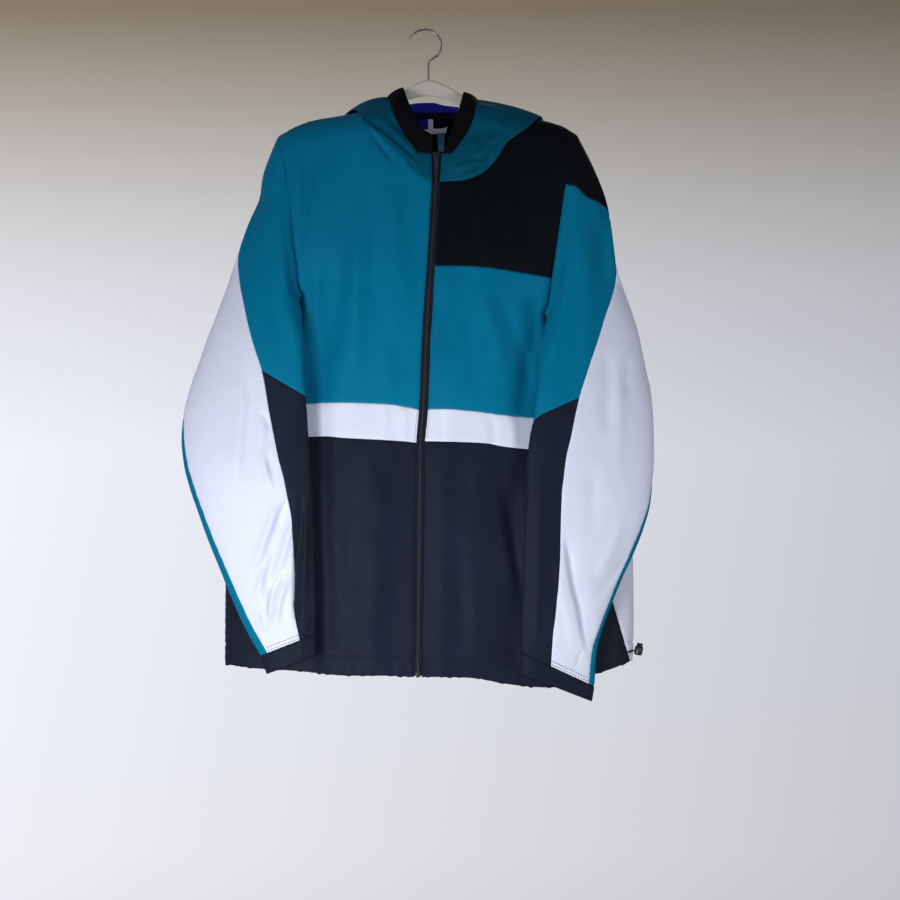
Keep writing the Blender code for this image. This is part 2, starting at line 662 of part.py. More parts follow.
def patch(top, low, left, right):
    """Places between four sides. Each side is a list of (x, z), left to right or top down."""
    columns = len(top) - 1
    rows = len(left) - 1

    def shares(side):
        run = [0.0]
        for a, b in zip(side, side[1:]):
            run.append(run[-1] + math.dist(a, b))
        return [d / run[-1] if run[-1] > 0 else i / (len(side) - 1) for i, d in enumerate(run)]

    u_top, u_low, v_left, v_right = shares(top), shares(low), shares(left), shares(right)
    grid = []
    for j in range(rows + 1):
        row = []
        for i in range(columns + 1):
            v = lerp(v_left[j], v_right[j], i / columns)
            u = lerp(u_top[i], u_low[i], v)
            place = []
            for axis in (0, 1):
                value = (1 - v) * top[i][axis] + v * low[i][axis]
                value += (1 - u) * left[j][axis] + u * right[j][axis]
                value -= (1 - u) * (1 - v) * top[0][axis] + u * (1 - v) * top[-1][axis]
                value -= (1 - u) * v * low[0][axis] + u * v * low[-1][axis]
                place.append(value)
            row.append(tuple(place))
        grid.append(row)
    return grid


def body_panel(name, grid, face, look, out=0.0, wall=WALL):
    found = [[body_point(x, z, face, out) for x, z in row] for row in grid]
    panel(name, [[p for p, n in row] for row in found], [[n for p, n in row] for row in found],
          look, wall=wall)


# ---------------------------------------------------------------- nodes along shared seams
RIGHT_TURNS = [math.pi * i / 9 for i in range(10)]
YOKE_SHARE = (LEFT_UNDERARM - YOKE_Z) / (LEFT_UNDERARM - ARM_TOP)
CAP_SHARE = (LEFT_UNDERARM - CAP_Z) / (LEFT_UNDERARM - ARM_TOP)
YOKE_TURN = math.acos(1.0 - 2.0 * YOKE_SHARE)
CAP_TURN = math.acos(1.0 - 2.0 * CAP_SHARE)
LEFT_TURNS = ([YOKE_TURN * i / 3 for i in range(3)] + [lerp(YOKE_TURN, CAP_TURN, i / 3) for i in range(3)]
              + [lerp(CAP_TURN, math.pi, i / 3) for i in range(4)])
YOKE_ROWS = 6
BELOW_ARM = (0.0, 0.1, 0.3, 0.6, 1.0)
LOWER_ROWS = 8
SHOULDER_STEPS = 5
NECK_STEPS = 5


def armhole_places(sleeve, turns):
    """Places down an armhole, from the shoulder's tip to the underarm."""
    places = []
    for turn in turns:
        point = sleeve.armhole(turn)
        places.append((point.x, point.z))
    return places


def edge_places(table, z0, z1, count, name="x"):
    return [(read(table, name, lerp(z0, z1, i / count)), lerp(z0, z1, i / count))
            for i in range(count + 1)]


def below_arm_places(table, z0, z1):
    """Places from the underarm to the stripe, closer together near the underarm."""
    return [(read(table, "x", lerp(z0, z1, share)), lerp(z0, z1, share)) for share in BELOW_ARM]


def shoulder_places(x0, x1, count):
    return [(lerp(x0, x1, i / count), read(SHOULDER, "z", lerp(x0, x1, i / count)))
            for i in range(count + 1)]


def zip_places(z0, z1, count, side):
    return [(read(ZIP, "x", lerp(z0, z1, i / count)) + side * ZIP_HALF, lerp(z0, z1, i / count))
            for i in range(count + 1)]


# ---------------------------------------------------------------- the garment
def make_right_front(looks, sleeve):
    columns = SHOULDER_STEPS + NECK_STEPS
    arm = armhole_places(sleeve, RIGHT_TURNS[::-1])
    side = below_arm_places(RIGHT_EDGE, RIGHT_UNDERARM, RIGHT_STRIPE[0])
    left = arm + side[1:]
    top = shoulder_places(RIGHT_TIP, RIGHT_NECK, SHOULDER_STEPS) + along(NECK_RIGHT, NECK_STEPS)[1:]
    stripe_top = along((side[-1],) + STRIPE_TOP_RIGHT, columns)
    side_low = edge_places(RIGHT_EDGE, *RIGHT_STRIPE, 2)
    stripe_low = along((side_low[-1],) + STRIPE_LOW_RIGHT, columns)
    hem = along(HEM_RIGHT, columns)
    rows = len(left) - 1
    centre = zip_places(NECK_SEAM, RIGHT_STRIPE_ZIP[0], rows, -1)
    top[-1] = centre[0]
    stripe_top[-1] = centre[-1]
    body_panel("front_right_upper", patch(top, stripe_top, left, centre), "front", looks["teal"])
    centre = zip_places(*RIGHT_STRIPE_ZIP, 2, -1)
    stripe_low[-1] = centre[-1]
    body_panel("front_right_stripe", patch(stripe_top, stripe_low, side_low, centre), "front",
               looks["white"])
    centre = zip_places(RIGHT_STRIPE_ZIP[1], RIGHT_HEM_ZIP, LOWER_ROWS, -1)
    side = edge_places(RIGHT_EDGE, RIGHT_STRIPE[1], RIGHT_HEM, LOWER_ROWS)
    hem[0], hem[-1] = side[-1], centre[-1]
    body_panel("front_right_lower", patch(stripe_low, hem, side, centre), "front", looks["navy"])


def make_left_front(looks, sleeve):
    columns = SHOULDER_STEPS + NECK_STEPS
    arm = armhole_places(sleeve, LEFT_TURNS[::-1])
    top = along(NECK_LEFT, NECK_STEPS) + shoulder_places(LEFT_NECK, LEFT_TIP, SHOULDER_STEPS)[1:]
    yoke_low = along(YOKE_LOW, columns)
    centre = zip_places(NECK_SEAM, YOKE_ZIP, YOKE_ROWS, 1)
    top[0] = centre[0]
    yoke_low[0], yoke_low[-1] = centre[-1], arm[YOKE_ROWS]
    body_panel("front_left_yoke", patch(top, yoke_low, centre, arm[:YOKE_ROWS + 1]), "front", looks["black"])
    side = below_arm_places(SIDE_SEAM, LEFT_UNDERARM, LEFT_STRIPE[0])
    right = arm[YOKE_ROWS:] + side[1:]
    centre = zip_places(YOKE_ZIP, LEFT_STRIPE_ZIP[0], len(right) - 1, 1)
    stripe_top = along(STRIPE_TOP_LEFT, columns)
    stripe_top[0], stripe_top[-1] = centre[-1], side[-1]
    body_panel("front_left_upper", patch(yoke_low, stripe_top, centre, right), "front", looks["teal"])
    centre = zip_places(*LEFT_STRIPE_ZIP, 2, 1)
    side = edge_places(SIDE_SEAM, *LEFT_STRIPE, 2)
    stripe_low = along(STRIPE_LOW_LEFT, columns)
    stripe_low[0], stripe_low[-1] = centre[-1], side[-1]
    body_panel("front_left_stripe", patch(stripe_top, stripe_low, centre, side), "front",
               looks["white"])
    centre = zip_places(LEFT_STRIPE_ZIP[1], LEFT_HEM_ZIP, LOWER_ROWS, 1)
    side = edge_places(SIDE_SEAM, LEFT_STRIPE[1], LEFT_HEM, LOWER_ROWS)
    hem = along(HEM_LEFT, columns)
    hem[0], hem[-1] = centre[-1], side[-1]
    body_panel("front_left_lower", patch(stripe_low, hem, centre, side), "front", looks["navy"])
    make_side_left(looks)


def left_side_levels():
    """Heights of the rows down the left side, shared by side piece and back."""
    seam = [lerp(LEFT_UNDERARM, LEFT_STRIPE[0], share) for share in BELOW_ARM]
    seam += [lerp(*LEFT_STRIPE, i / 2) for i in (1, 2)]
    seam += [lerp(LEFT_STRIPE[1], LEFT_HEM, i / LOWER_ROWS) for i in range(1, LOWER_ROWS + 1)]
    return seam


def make_side_left(looks):
    seam = [(read(SIDE_SEAM, "x", z), z) for z in left_side_levels()]
    edge = [(read(LEFT_EDGE, "x", z), z) for z in left_side_levels()]
    seam[0] = edge[0]
    steps = 4
    grid = [[(lerp(a[0], b[0], i / steps), lerp(a[1], b[1], i / steps)) for i in range(steps + 1)]
            for a, b in zip(seam, edge)]
    body_panel("side_left", grid, "front", looks["white"])


def make_back(looks, right_sleeve, left_sleeve):
    right_turns = back_turns(right_sleeve)
    left_turns = back_turns(left_sleeve)
    right = armhole_places(right_sleeve, right_turns)
    right += below_arm_places(RIGHT_EDGE, RIGHT_UNDERARM, RIGHT_STRIPE[0])[1:]
    right += edge_places(RIGHT_EDGE, *RIGHT_STRIPE, 2)[1:]
    right += edge_places(RIGHT_EDGE, RIGHT_STRIPE[1], RIGHT_HEM, LOWER_ROWS)[1:]
    left = armhole_places(left_sleeve, left_turns)
    left += [(read(LEFT_EDGE, "x", z), z) for z in left_side_levels()[1:]]
    top = shoulder_places(RIGHT_TIP, RIGHT_NECK, SHOULDER_STEPS) + along(NECK_BACK, 6)[1:-1]
    top += shoulder_places(LEFT_NECK, LEFT_TIP, SHOULDER_STEPS)
    steps = len(top) - 1
    hem = [(lerp(right[-1][0], left[-1][0], i / steps),
            lerp(right[-1][1], left[-1][1], i / steps) - HEM_DIP * math.sin(math.pi * i / steps))
           for i in range(steps + 1)]
    body_panel("back", patch(top, hem, right, left), "back", looks["white"])


def white_turns(sleeve, k):
    """Turns of the outer panel's columns. One of them keeps to the outer edge."""
    start = sleeve.seam_turn("seam", k)
    end = sleeve.seam_turn("strip", k)
    middle = min(max(math.pi, lerp(start, end, 0.3)), lerp(start, end, 0.7))
    return [start, (start + middle) / 2, middle, (middle + end) / 2, end]


def rear_turns(sleeve, k):
    """Turns of the back panel's columns. The second keeps to the outer edge if it can."""
    start = sleeve.seam_turn("strip", k)
    end = 2 * math.pi
    second = min(max(math.pi, lerp(start, end, 0.1)), lerp(start, end, 0.3))
    return [start] + [lerp(second, end, i / 5) for i in range(6)]


def back_turns(sleeve):
    """Turns of the sleeve's rows behind, from the outer edge to the inner fold."""
    return white_turns(sleeve, 0)[:-1] + rear_turns(sleeve, 0)


def make_sleeve(side, sleeve, looks, turns):
    """Front, outer and back panels of a sleeve, with its cuff band."""
    levels = [0, 0.4, 1, 2] + list(range(3, CUFF + 1))
    shares = [turn / turns[-1] for turn in turns]

    def white_edge(k):
        return sleeve.seam_turn("seam", k)

    def front_edge(k):
        if side == "left" and k < CAP_END:
            return lerp(CAP_TURN, sleeve.seam_turn("seam", CAP_END), k / CAP_END)
        return white_edge(k)

    def grid(ks, low, high, parts):
        return [[(k, lerp(low(k), high(k), part)) for part in parts] for k in ks]

    def add(name, cells, look, ring=False, open_cells=()):
        points = [[sleeve(k, turn) for k, turn in row] for row in cells]
        normals = [[sleeve.normal(k, turn) for k, turn in row] for row in cells]
        seams = [[sleeve.armhole(turn) if k == 0 else sleeve(k, turn) for k, turn in row] for row in cells]
        panel(name, points, normals, look, ring=ring, open_cells=open_cells, seams=seams)

    if side == "left":
        fronts = [turn / CAP_TURN for turn in turns if turn <= CAP_TURN + 1e-6]
    else:
        fronts = shares
    upper = [k for k in levels if k <= ELBOW]
    lower = [k for k in levels if k >= ELBOW]
    add(f"sleeve_{side}_upper", grid(upper, lambda k: 0.0, front_edge, fronts), looks["teal"])
    add(f"sleeve_{side}_lower", grid(lower, lambda k: 0.0, front_edge, fronts), looks["navy"])
    if side == "left":
        caps = [i / 3 for i in range(4)]
        ks = [k for k in levels if k <= CAP_END]
        add("sleeve_left_cap", grid(ks, front_edge, white_edge, caps), looks["black"])

    whites = [[(k, turn) for turn in white_turns(sleeve, k)] for k in levels]
    rears = [[(k, turn) for turn in rear_turns(sleeve, k)] for k in levels]
    add(f"sleeve_{side}_outer", whites, looks["white"])
    add(f"sleeve_{side}_back", rears, looks["teal"], open_cells=((0, len(rears[0]) - 2),))
    seam = sleeve.seam_turn("seam", CUFF)
    round_turns = [share * seam for share in fronts[:-1]]
    round_turns += white_turns(sleeve, CUFF)[:-1] + rear_turns(sleeve, CUFF)[:-1]
    add(f"cuff_{side}", [[(k, turn) for turn in round_turns] for k in (19, 19.5, 20)],
        looks["navy"], ring=True)


def make_hood(side, hood, looks):
    """Outer layer and band of half the hood, from the zip to the middle of the back."""
    steps = [0, 1, 2, 3, 4, 5, 6, 6.5, 7, 7.5, 8, 8.75, 9.5, 10.25, 11]
    span = (0, HOOD_END)
    across = [0, 0.12, 0.3, 0.5, 0.7, 0.88, 1.0]
    points = [[hood.outer(s, t) for t in across] for s in steps]
    normals = [[surface_normal(hood.outer, s, t, span, hood.outward(s)) for t in across]
               for s in steps]
    panel(f"hood_{side}", points, normals, looks["teal"])
    width = [0, 0.5, 1.0]
    points = [[hood.band(s, t) for t in width] for s in steps]
    normals = [[surface_normal(hood.band, s, t, span, hood.outward(s)) for t in width]
               for s in steps]
    panel(f"hood_band_{side}", points, normals, looks["black"])


def make_hood_back(looks, right_hood, left_hood):
    """The hood's inner layer, from the back neck seam down to the fold."""
    steps = [7.5, 8, 8.75, 9.5, 10.25, 11]
    folds = [right_hood.corner("f", s) for s in steps] + [left_hood.corner("f", s) for s in steps[-2::-1]]
    places = along(((-70, -104), (-34, -100), (9, -101), (52, -100), (100, -106)), len(folds) - 1)
    rows = [0, 0.15, 0.35, 0.6, 0.85, 1.0]
    points = []
    normals = []
    for part in rows:
        line = []
        for (x, z), fold in zip(places, folds):
            start, normal = body_point(x, z, "back", 3.0)
            point = start.lerp(fold + Vector((0.0, -WALL - 2 * SEAM_GAP, 1.0)), part)
            clear = body_y(point.x, point.z, "back") + 3.0
            point.y = max(point.y, clear) if part < 1.0 else point.y
            line.append(point)
        points.append(line)
        normals.append([Vector((0, 1, 0)) for point in line])
    panel("hood_back", points, normals, looks["teal"])


# ---------------------------------------------------------------- zip, neck, hard pieces
def make_zip(looks):
    rows = 26
    levels = [lerp(NECK_SEAM, TAPE_END, i / rows) for i in range(rows + 1)]
    collar = [lerp(COLLAR_TOP, NECK_SEAM, i / 3) for i in range(3)]
    for name, side in (("zip_tape_right", -1), ("zip_tape_left", 1)):
        points = []
        normals = []
        for z in collar + levels:
            middle = read(ZIP, "x", z)
            inner = middle + side * SEAM_GAP * 0.5
            outer = middle + side * (ZIP_HALF - SEAM_GAP)
            line = [zip_point(x, z) for x in sorted((inner, outer))]
            points.append(line)
            normals.append([Vector((0, -1, 0))] * 2)
        panel(name, points, normals, looks["black"], wall=TRIM, parted=False)
    points = []
    normals = []
    for z in collar[1:] + levels[:-1]:
        middle = read(ZIP, "x", z)
        line = [zip_point(middle + offset, z) - Vector((0, 1.7, 0))
                for offset in (-CHAIN_HALF, CHAIN_HALF)]
        points.append(line)
        normals.append([Vector((0, -1, 0))] * 2)
    panel("zip_chain", points, normals, looks["plastic"], wall=1.6, parted=False)


def zip_point(x, z):
    """A place on the tapes. Above the neck seam they follow the standing collar."""
    if z >= NECK_SEAM:
        share = (z - COLLAR_TOP) / (NECK_SEAM - COLLAR_TOP)
        return Vector((x, lerp(COLLAR_Y, body_y(x, NECK_SEAM, "front"), share), z))
    return Vector((x, body_y(x, z, "front"), z))


def make_block(name, centre, size, look, turn=(0, 0, 0), bevel=0.6):
    """A rounded block, turned about its own centre."""
    bpy.ops.mesh.primitive_cube_add(size=1.0)
    item = bpy.context.object
    item.name = name
    item.data.name = name
    item.scale = [value * MM for value in size]
    bpy.ops.object.transform_apply(location=False, rotation=False, scale=True)
    item.location = Vector(centre) * MM
    item.rotation_euler = turn
    rounding = item.modifiers.new("edges", "BEVEL")
    rounding.width = bevel * MM
    rounding.segments = 2
    item.data.materials.append(look)
    return item


def make_pull(looks):
    """Slider on the chain and the pull tab that swings on it."""
    z = SLIDER_Z
    x = read(ZIP, "x", z)
    y = zip_point(x, z).y
    make_block("zip_slider", (x, y - 3.6, z), (7.6, 4.2, 11.0), looks["metal"], bevel=0.8)
    make_block("zip_pull", (x, y - 7.1, z - 12.0), (5.0, 1.8, 24.0), looks["metal"], bevel=0.5)


def make_stop(looks):
    z = -807.0
    x = read(ZIP, "x", z)
    make_block("zip_stop", (x, body_y(x, z, "front") - 2.2, z + 3.0), (6.0, 2.6, 8.0),
               looks["plastic"], bevel=0.5)


def make_neck(looks):
    """Lining, tape and label inside the back neck."""
    def sheet(name, top, low, rows, depths, wall, look):
        steps = len(top) - 1
        points = []
        for j in range(rows + 1):
            line = []
            for i in range(steps + 1):
                x = lerp(top[i][0], low[i][0], j / rows)
                z = lerp(top[i][1], low[i][1], j / rows)
                depth = lerp(*depths, j / rows)
                line.append(Vector((x, body_y(x, min(z, -104.0), "back") - depth, z)))
            points.append(line)
        normals = [[Vector((0, -1, 0)) for point in line] for line in points]
        panel(name, points, normals, look, wall=wall, parted=False)

    sheet("neck_lining", along(((-26, -93), (-9, -90), (9, -89.5), (24, -93), (42, -95)), 8),
          along(((-26, -150), (42, -150)), 8), 4, (5.0, 2.0), 1.2, looks["blue"])
    sheet("neck_tape", along(((-24, -102), (40, -102)), 6), along(((-24, -110), (40, -110)), 6),
          1, (6.4, 6.4), TRIM, looks["black"])
    outline = ((3.8, -110.4), (10, -110.4), (10, -122.6), (22, -122.4), (28.5, -119.5), (26, -129),
               (8, -129), (-2.5, -123.5), (3.8, -122.8))
    y = body_y(9.0, -116.0, "back") - 7.4
    front = [(x, y - TRIM, z) for x, z in outline]
    back = [(x, y, z) for x, z in outline]
    count = len(outline)
    faces = [tuple(range(count)), tuple(range(2 * count - 1, count - 1, -1))]
    faces += [(i, (i + 1) % count, (i + 1) % count + count, i + count) for i in range(count)]
    add_mesh("neck_label", front + back, faces, looks["white"])


def make_tube(name, points, radius, look, sides=10):
    """A closed round tube along a line of points."""
    vertices = []
    across = None
    for i, point in enumerate(points):
        ahead = (points[min(i + 1, len(points) - 1)] - points[max(i - 1, 0)]).normalized()
        if across is None:
            across = ahead.orthogonal()
        across = (across - ahead * across.dot(ahead)).normalized()
        other = ahead.cross(across)
        for j in range(sides):
            angle = 2.0 * math.pi * j / sides
            vertices.append(point + (across * math.cos(angle) + other * math.sin(angle)) * radius)
    faces = []
    for i in range(len(points) - 1):
        for j in range(sides):
            a = i * sides + j
            b = i * sides + (j + 1) % sides
            faces.append((a, b, b + sides, a + sides))
    last = (len(points) - 1) * sides
    faces.append(tuple(range(sides)))
    faces.append(tuple(range(last, last + sides)))
    return add_mesh(name, vertices, faces, look)


def make_hook(look):
    """Bent wire: a round bend, then a neck down to the hanger's middle."""
    centre_z = -(HOOK_RADIUS - HOOK_WIRE / 2.0)
    points = []
    for degree in range(156, -31, -12):
        angle = math.radians(degree)
        points.append(Vector((HOOK_RADIUS * math.cos(angle), 0.0,
                              centre_z + HOOK_RADIUS * math.sin(angle))))
    points += [Vector(place) for place in ((12.5, 0, -33.0), (7.5, 0, -37.0), (4.8, 0, -41.0),
                                           (4.4, 0, -47.0), (4.4, 0, -61.6))]
    make_tube("hanger_hook", points, HOOK_WIRE / 2.0, look)


def make_hanger(look):
    """Flat moulded hanger: two arms that fall from a raised middle."""
    top = []
    for x in range(-172, 179, 10):
        if x < -62 or x > 79:
            z = read(SHOULDER, "z", x) - HANGER_DROP
        else:
            z = read(HANGER_TOP, "z", x)
        top.append((x, z))
    low = [(x, z - read(HANGER_HEIGHT, "height", x)) for x, z in top]
    outline = top + low[::-1]
    count = len(outline)
    front = [(x, -HANGER_HALF, z) for x, z in outline]
    back = [(x, HANGER_HALF, z) for x, z in outline]
    strip = len(top)
    faces = []
    for i in range(strip - 1):
        a, b, c, d = i, i + 1, count - 2 - i, count - 1 - i
        faces.append((a, b, c, d))
        faces.append((a + count, b + count, c + count, d + count))
    faces += [(i, (i + 1) % count, (i + 1) % count + count, i + count) for i in range(count)]
    item = add_mesh("hanger_body", front + back, faces, look)
    rounding = item.modifiers.new("edges", "BEVEL")
    rounding.width = 2.2 * MM
    rounding.segments = 2
    rounding.limit_method = "ANGLE"
    rounding.angle_limit = math.radians(50)


HANGER_TOP = (("x", "z"), (
    (-62, -98), (-54, -94.5), (-44, -88.5), (-28, -76.5), (-12, -67.5), (4, -61.5), (20, -66), (34, -73),
    (49, -83), (62, -92.5), (72, -96), (79, -97.5)))
HANGER_HEIGHT = (("x", "height"), (
    (-172, 12), (-100, 17), (-40, 15), (-28, 13), (-12, 17), (4, 20), (20, 18), (34, 16),
    (49, 15), (60, 15), (110, 17), (178, 12)))


def make_cord_lock(looks):
    """Lock on the hem cord's end, outside the left side, and the cord's short end."""
    make_tube("hem_cord", [Vector((254.2, -15.6, -778.0)), Vector((258.3, -13.2, -776.5)),
                           Vector((261.0, -10.6, -775.5))], 1.1, looks["black"], sides=8)
    bpy.ops.mesh.primitive_cylinder_add(vertices=20, radius=5.3 * MM, depth=15.5 * MM)
    item = bpy.context.object
    item.name = "cord_lock"
    item.data.name = "cord_lock"
    item.location = Vector((267.6, -5.0, -774.0)) * MM
    item.rotation_euler = (0, math.radians(12), 0)
    rounding = item.modifiers.new("edges", "BEVEL")
    rounding.width = 1.4 * MM
    rounding.segments = 3
    rounding.limit_method = "ANGLE"
    item.data.materials.append(looks["plastic"])
    bpy.ops.object.shade_smooth()


def main():
    for item in list(bpy.data.objects):
        bpy.data.objects.remove(item, do_unlink=True)
    looks = {
        "teal": material("teal_cloth", TEAL), "white": material("white_cloth", WHITE),
        "navy": material("navy_cloth", NAVY), "black": material("black_cloth", BLACK),
        "blue": material("blue_lining", BLUE), "plastic": material("black_plastic", BLACK, 0.4),
        "metal": material("dark_metal", NAVY, 0.4, 0.6)}
    right_sleeve = Sleeve(RIGHT_SLEEVE, RIGHT_EDGE)
    left_sleeve = Sleeve(LEFT_SLEEVE, LEFT_EDGE)
    right_hood = Hood(HOOD_RIGHT)
    left_hood = Hood(HOOD_LEFT)
    make_right_front(looks, right_sleeve)
    make_left_front(looks, left_sleeve)
    make_back(looks, right_sleeve, left_sleeve)
    make_sleeve("right", right_sleeve, looks, RIGHT_TURNS)
    make_sleeve("left", left_sleeve, looks, LEFT_TURNS)
    make_hood("right", right_hood, looks)
    make_hood("left", left_hood, looks)
    make_hood_back(looks, right_hood, left_hood)
    make_zip(looks)
    make_neck(looks)
    share_normals()
    for item in PANELS:
        sew(item)
    make_pull(looks)
    make_stop(looks)
    make_hook(material("bright_wire", STEEL, 0.25, 1.0))
    make_hanger(material("ivory_plastic", IVORY, 0.45))
    make_cord_lock(looks)


main()
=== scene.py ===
"""Looks of a hooded windbreaker jacket that hangs on a clothes hanger.

The frame is +X to the wearer's left, +Y towards the wall behind the jacket and +Z up.
Sizes and tables are in millimetres. Every cloth panel is a fine grid on the same surfaces
as the solids, with its creases, seams and stitches, and it stands for its solid.
"""
import math

import bpy
import numpy as np
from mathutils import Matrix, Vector


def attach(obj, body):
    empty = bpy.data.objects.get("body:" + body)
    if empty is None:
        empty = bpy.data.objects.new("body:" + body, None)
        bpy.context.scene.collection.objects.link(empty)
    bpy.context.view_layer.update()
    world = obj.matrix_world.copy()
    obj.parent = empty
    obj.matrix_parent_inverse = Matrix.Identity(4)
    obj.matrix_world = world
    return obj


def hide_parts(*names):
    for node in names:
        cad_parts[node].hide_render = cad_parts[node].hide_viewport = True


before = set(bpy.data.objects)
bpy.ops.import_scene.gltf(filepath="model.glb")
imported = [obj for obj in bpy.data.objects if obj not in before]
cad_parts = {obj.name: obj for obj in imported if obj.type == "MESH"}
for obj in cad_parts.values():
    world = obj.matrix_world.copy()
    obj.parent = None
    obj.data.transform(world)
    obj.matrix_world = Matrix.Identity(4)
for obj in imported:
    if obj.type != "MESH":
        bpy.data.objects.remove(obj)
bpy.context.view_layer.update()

MM = 0.001
PI = np.pi
FRONT = (0.0, -1.0, 0.0)
BEHIND = (0.0, 1.0, 0.0)
ALL_SIDES = ("top", "low", "left", "right")

# Cloth, seams and stitches.
WEAVE_SCALE = 420.0      # fineness of woven cloth
CLOTH = 0.7              # thickness of a shell
BAND_CLOTH = 1.1         # the same for the hood's band
TAPE_CLOTH = 0.6         # the same for the zip's tapes
THIN_CLOTH = 0.5         # the same for the pieces inside the neck
STEP = 3.0               # spacing of a shell's points
EVEN_SHARE = 0.45        # how far that spacing is drawn to the ends of a line
SEAM_DEPTH = 0.6         # how far cloth sinks at a seam
SEAM_WIDTH = 2.2
EDGE_LAP = 0.5           # how far a sleeve's head runs under the armhole's edge
PUCKER = (0.22, 7.0, (0.75, 1.3, 0.17))          # beside seams: height, reach and beat
PUCKER_SLANT = (0.62, 0.71)                      # how that beat runs across and up
GATHER = (0.14, (1.0, 1.4, 0.31))                # of the cuffs: height and beat
HEM_CHANNEL = 25.0       # height of the hem's stitch row above the hem
HEM_ROW = (1.1, 1.8)     # depth and width of the groove along that row
HEM_WAVE = (0.35, 16.0, (0.42, 1.6, 0.071))      # of the hem's face: height, reach and beat
HEM_BUMPS = ((0.19, 2.1, 0.041), (0.43, 1.7, 0.083))
HEM_SCALLOP = 0.8        # how far the hem's edge hangs down between its gathers
HEM_REACH = 9.0
STITCH = (3.4, 2.3, 0.42, 0.3)                   # pitch, length, width and height
BOLD_STITCH = (4.0, 2.6, 0.9, 0.45)              # the same for the cuffs' rows
STITCH_LIFT = 0.35
FULLNESS = 0.4           # a slanting row, such as an armhole, is longer than its cut is wide
NARROWEST = 0.011        # least width of a shell's flat cut, in metres

# Body.
MIDDLE_X = 4.0
SHOULDER_ROUND = 30.0
SWELL = 2.4              # fullness of the body's section
FRONT_ROUND = 1.15       # roundness of the fronts at the armhole's edge
ARM_ROW = 12.0           # height above the underarm from which the fronts run on
RUN_EDGE = 12.0          # distance from the armhole's edge at which they do so in full
RUN_TOP = (30.0, 20.0)   # height above the underarm where that starts, and over which it grows
RUN_LOW = (300.0, 220.0)                         # the same below it, where that ends
FRONT_RIPPLE = 0.8
FADE = 0.3               # share of a fold's or crease's length over which each end fades
FOLD_PAST = 0.15         # share of its length by which a soft fold runs on past each end
CREASE_POINTS = 13       # points on a crease's line
STEP_SLOPE = 1.6         # how steeply a step's height follows the distance from its line
FOLD_FADE = {"front": 0.12, "back": 0.3}         # share of a half over which folds fade in
CREASE_FADE = {"front": 0.1, "back": 0.12}       # the same for creases
RIGHT_UNDERARM = -330.0
LEFT_UNDERARM = -352.0
ARM_TOP = -130.0
RIGHT_TIP = -184.0
RIGHT_NECK = -62.0
LEFT_NECK = 79.0
LEFT_TIP = 190.0
HEM_DIP = 12.0           # how far the back's hem hangs in the middle

# Sleeves. A level is a row of the sleeve's table.
ELBOW = 6
CUFF = 19
CLEAR = 6.0              # gap from a sleeve to the body behind it
CLEAR_RUN = 0.45         # levels over which that gap grows from the armhole
AWAY_SLOPE = 2.0         # slope at which a sleeve may fall back beside the body
FOLD_HALF = 8.0          # half the thickness of a sleeve's inner fold
FOLD_SLOPE = 30.0
FOLD_EASE = 45.0
FOLD_RUN = 1.5
BLEND_END = 5.0          # level below which the armhole no longer shapes the sleeve
UNDERARM_REACH = 0.15
FULL = 0.85              # roundness of a sleeve's section
FACING = 0.6             # how soon a sleeve's creases fade towards its edges
CREASE_RUN = 1.2         # levels over which they grow from the armhole
SLEEVE_RIPPLE = 2.0
LAP_RUN = 0.25           # levels over which the inner fold's lap grows from the armhole
HEAD_RUN = 0.05          # levels over which the sleeve's head runs under the armhole's edge
CUFF_ROWS = (2.4, 6.6)   # distances of the two stitch rows from the cuff
CUFF_GRID = (12, 120)    # points down and round a cuff
CUFF_GATHERS = 26
SLEEVE_PITCH = 34.0      # height of a level
SEAM_TUCK = 0.5          # how far the front of the sleeve wraps round its outer edge at the top
TUCK_END = 2.3           # level below which it wraps less and less
ELBOW_DIP = {"right": 0.04, "left": 0.42}        # how far the elbow seam dips at the inner fold
DIP_REACH = 0.45
# How far the inner fold laps over the body below the underarm, at which level and how long.
RIGHT_LAP = (10.0, 1.25, 1.6)
LEFT_LAP = (9.5, 1.4, 1.6)
# How far the outer edge is drawn in, at what height and over what length.
RIGHT_PINCH = (4.5, -211.0, 20.0)
LEFT_PINCH = (0.0, -211.0, 20.0)
# Edge of the left sleeve's black cap: where it starts on the armhole, the level at which it
# meets the outer edge, how far its middle hangs as a share of the armhole, and how widely.
CAP_Z = -193.0
CAP_LOW = 2.3
CAP_DIP = 0.12
CAP_DIP_WIDTH = 0.2

# Hood.
HOOD_TOP = 6             # row of the hood's table on top of the shoulder
HOOD_END = 11            # row at the middle of the back
HOOD_CLEAR = 5.0
HOOD_FULL = 0.8          # roundness of its section
HOOD_SLANT = 0.7         # how far it bulges sideways and upwards, for 1 forwards
HOOD_GRID = (150, 40)    # points round the neck and across the cloth
HOOD_EASE = 0.3          # how far the latter are drawn to both sides
HOOD_RUN = 1.5           # rows over which creases give way to ripples on the shoulder
HOOD_RIPPLES = (1.6, 0.9)                        # height of the ripples behind it and before it
HOOD_ROW = 2.4           # distance of the stitch row from the band's seam
HOOD_BACK = ((-70, -104), (-34, -100), (9, -101), (52, -100), (100, -106))
HOOD_BACK_START = 7.5    # row from which the piece below the back's fold starts
HOOD_BACK_CLEAR = 3.0
HOOD_BACK_LAP = (0.0, -1.4, 1.0)                 # how far that piece ends inside the fold
BAND_POINTS = 12
BAND_BULGE = 2.0
BAND_LOW = 0.88          # width of the band at the zip, as a share of its width above

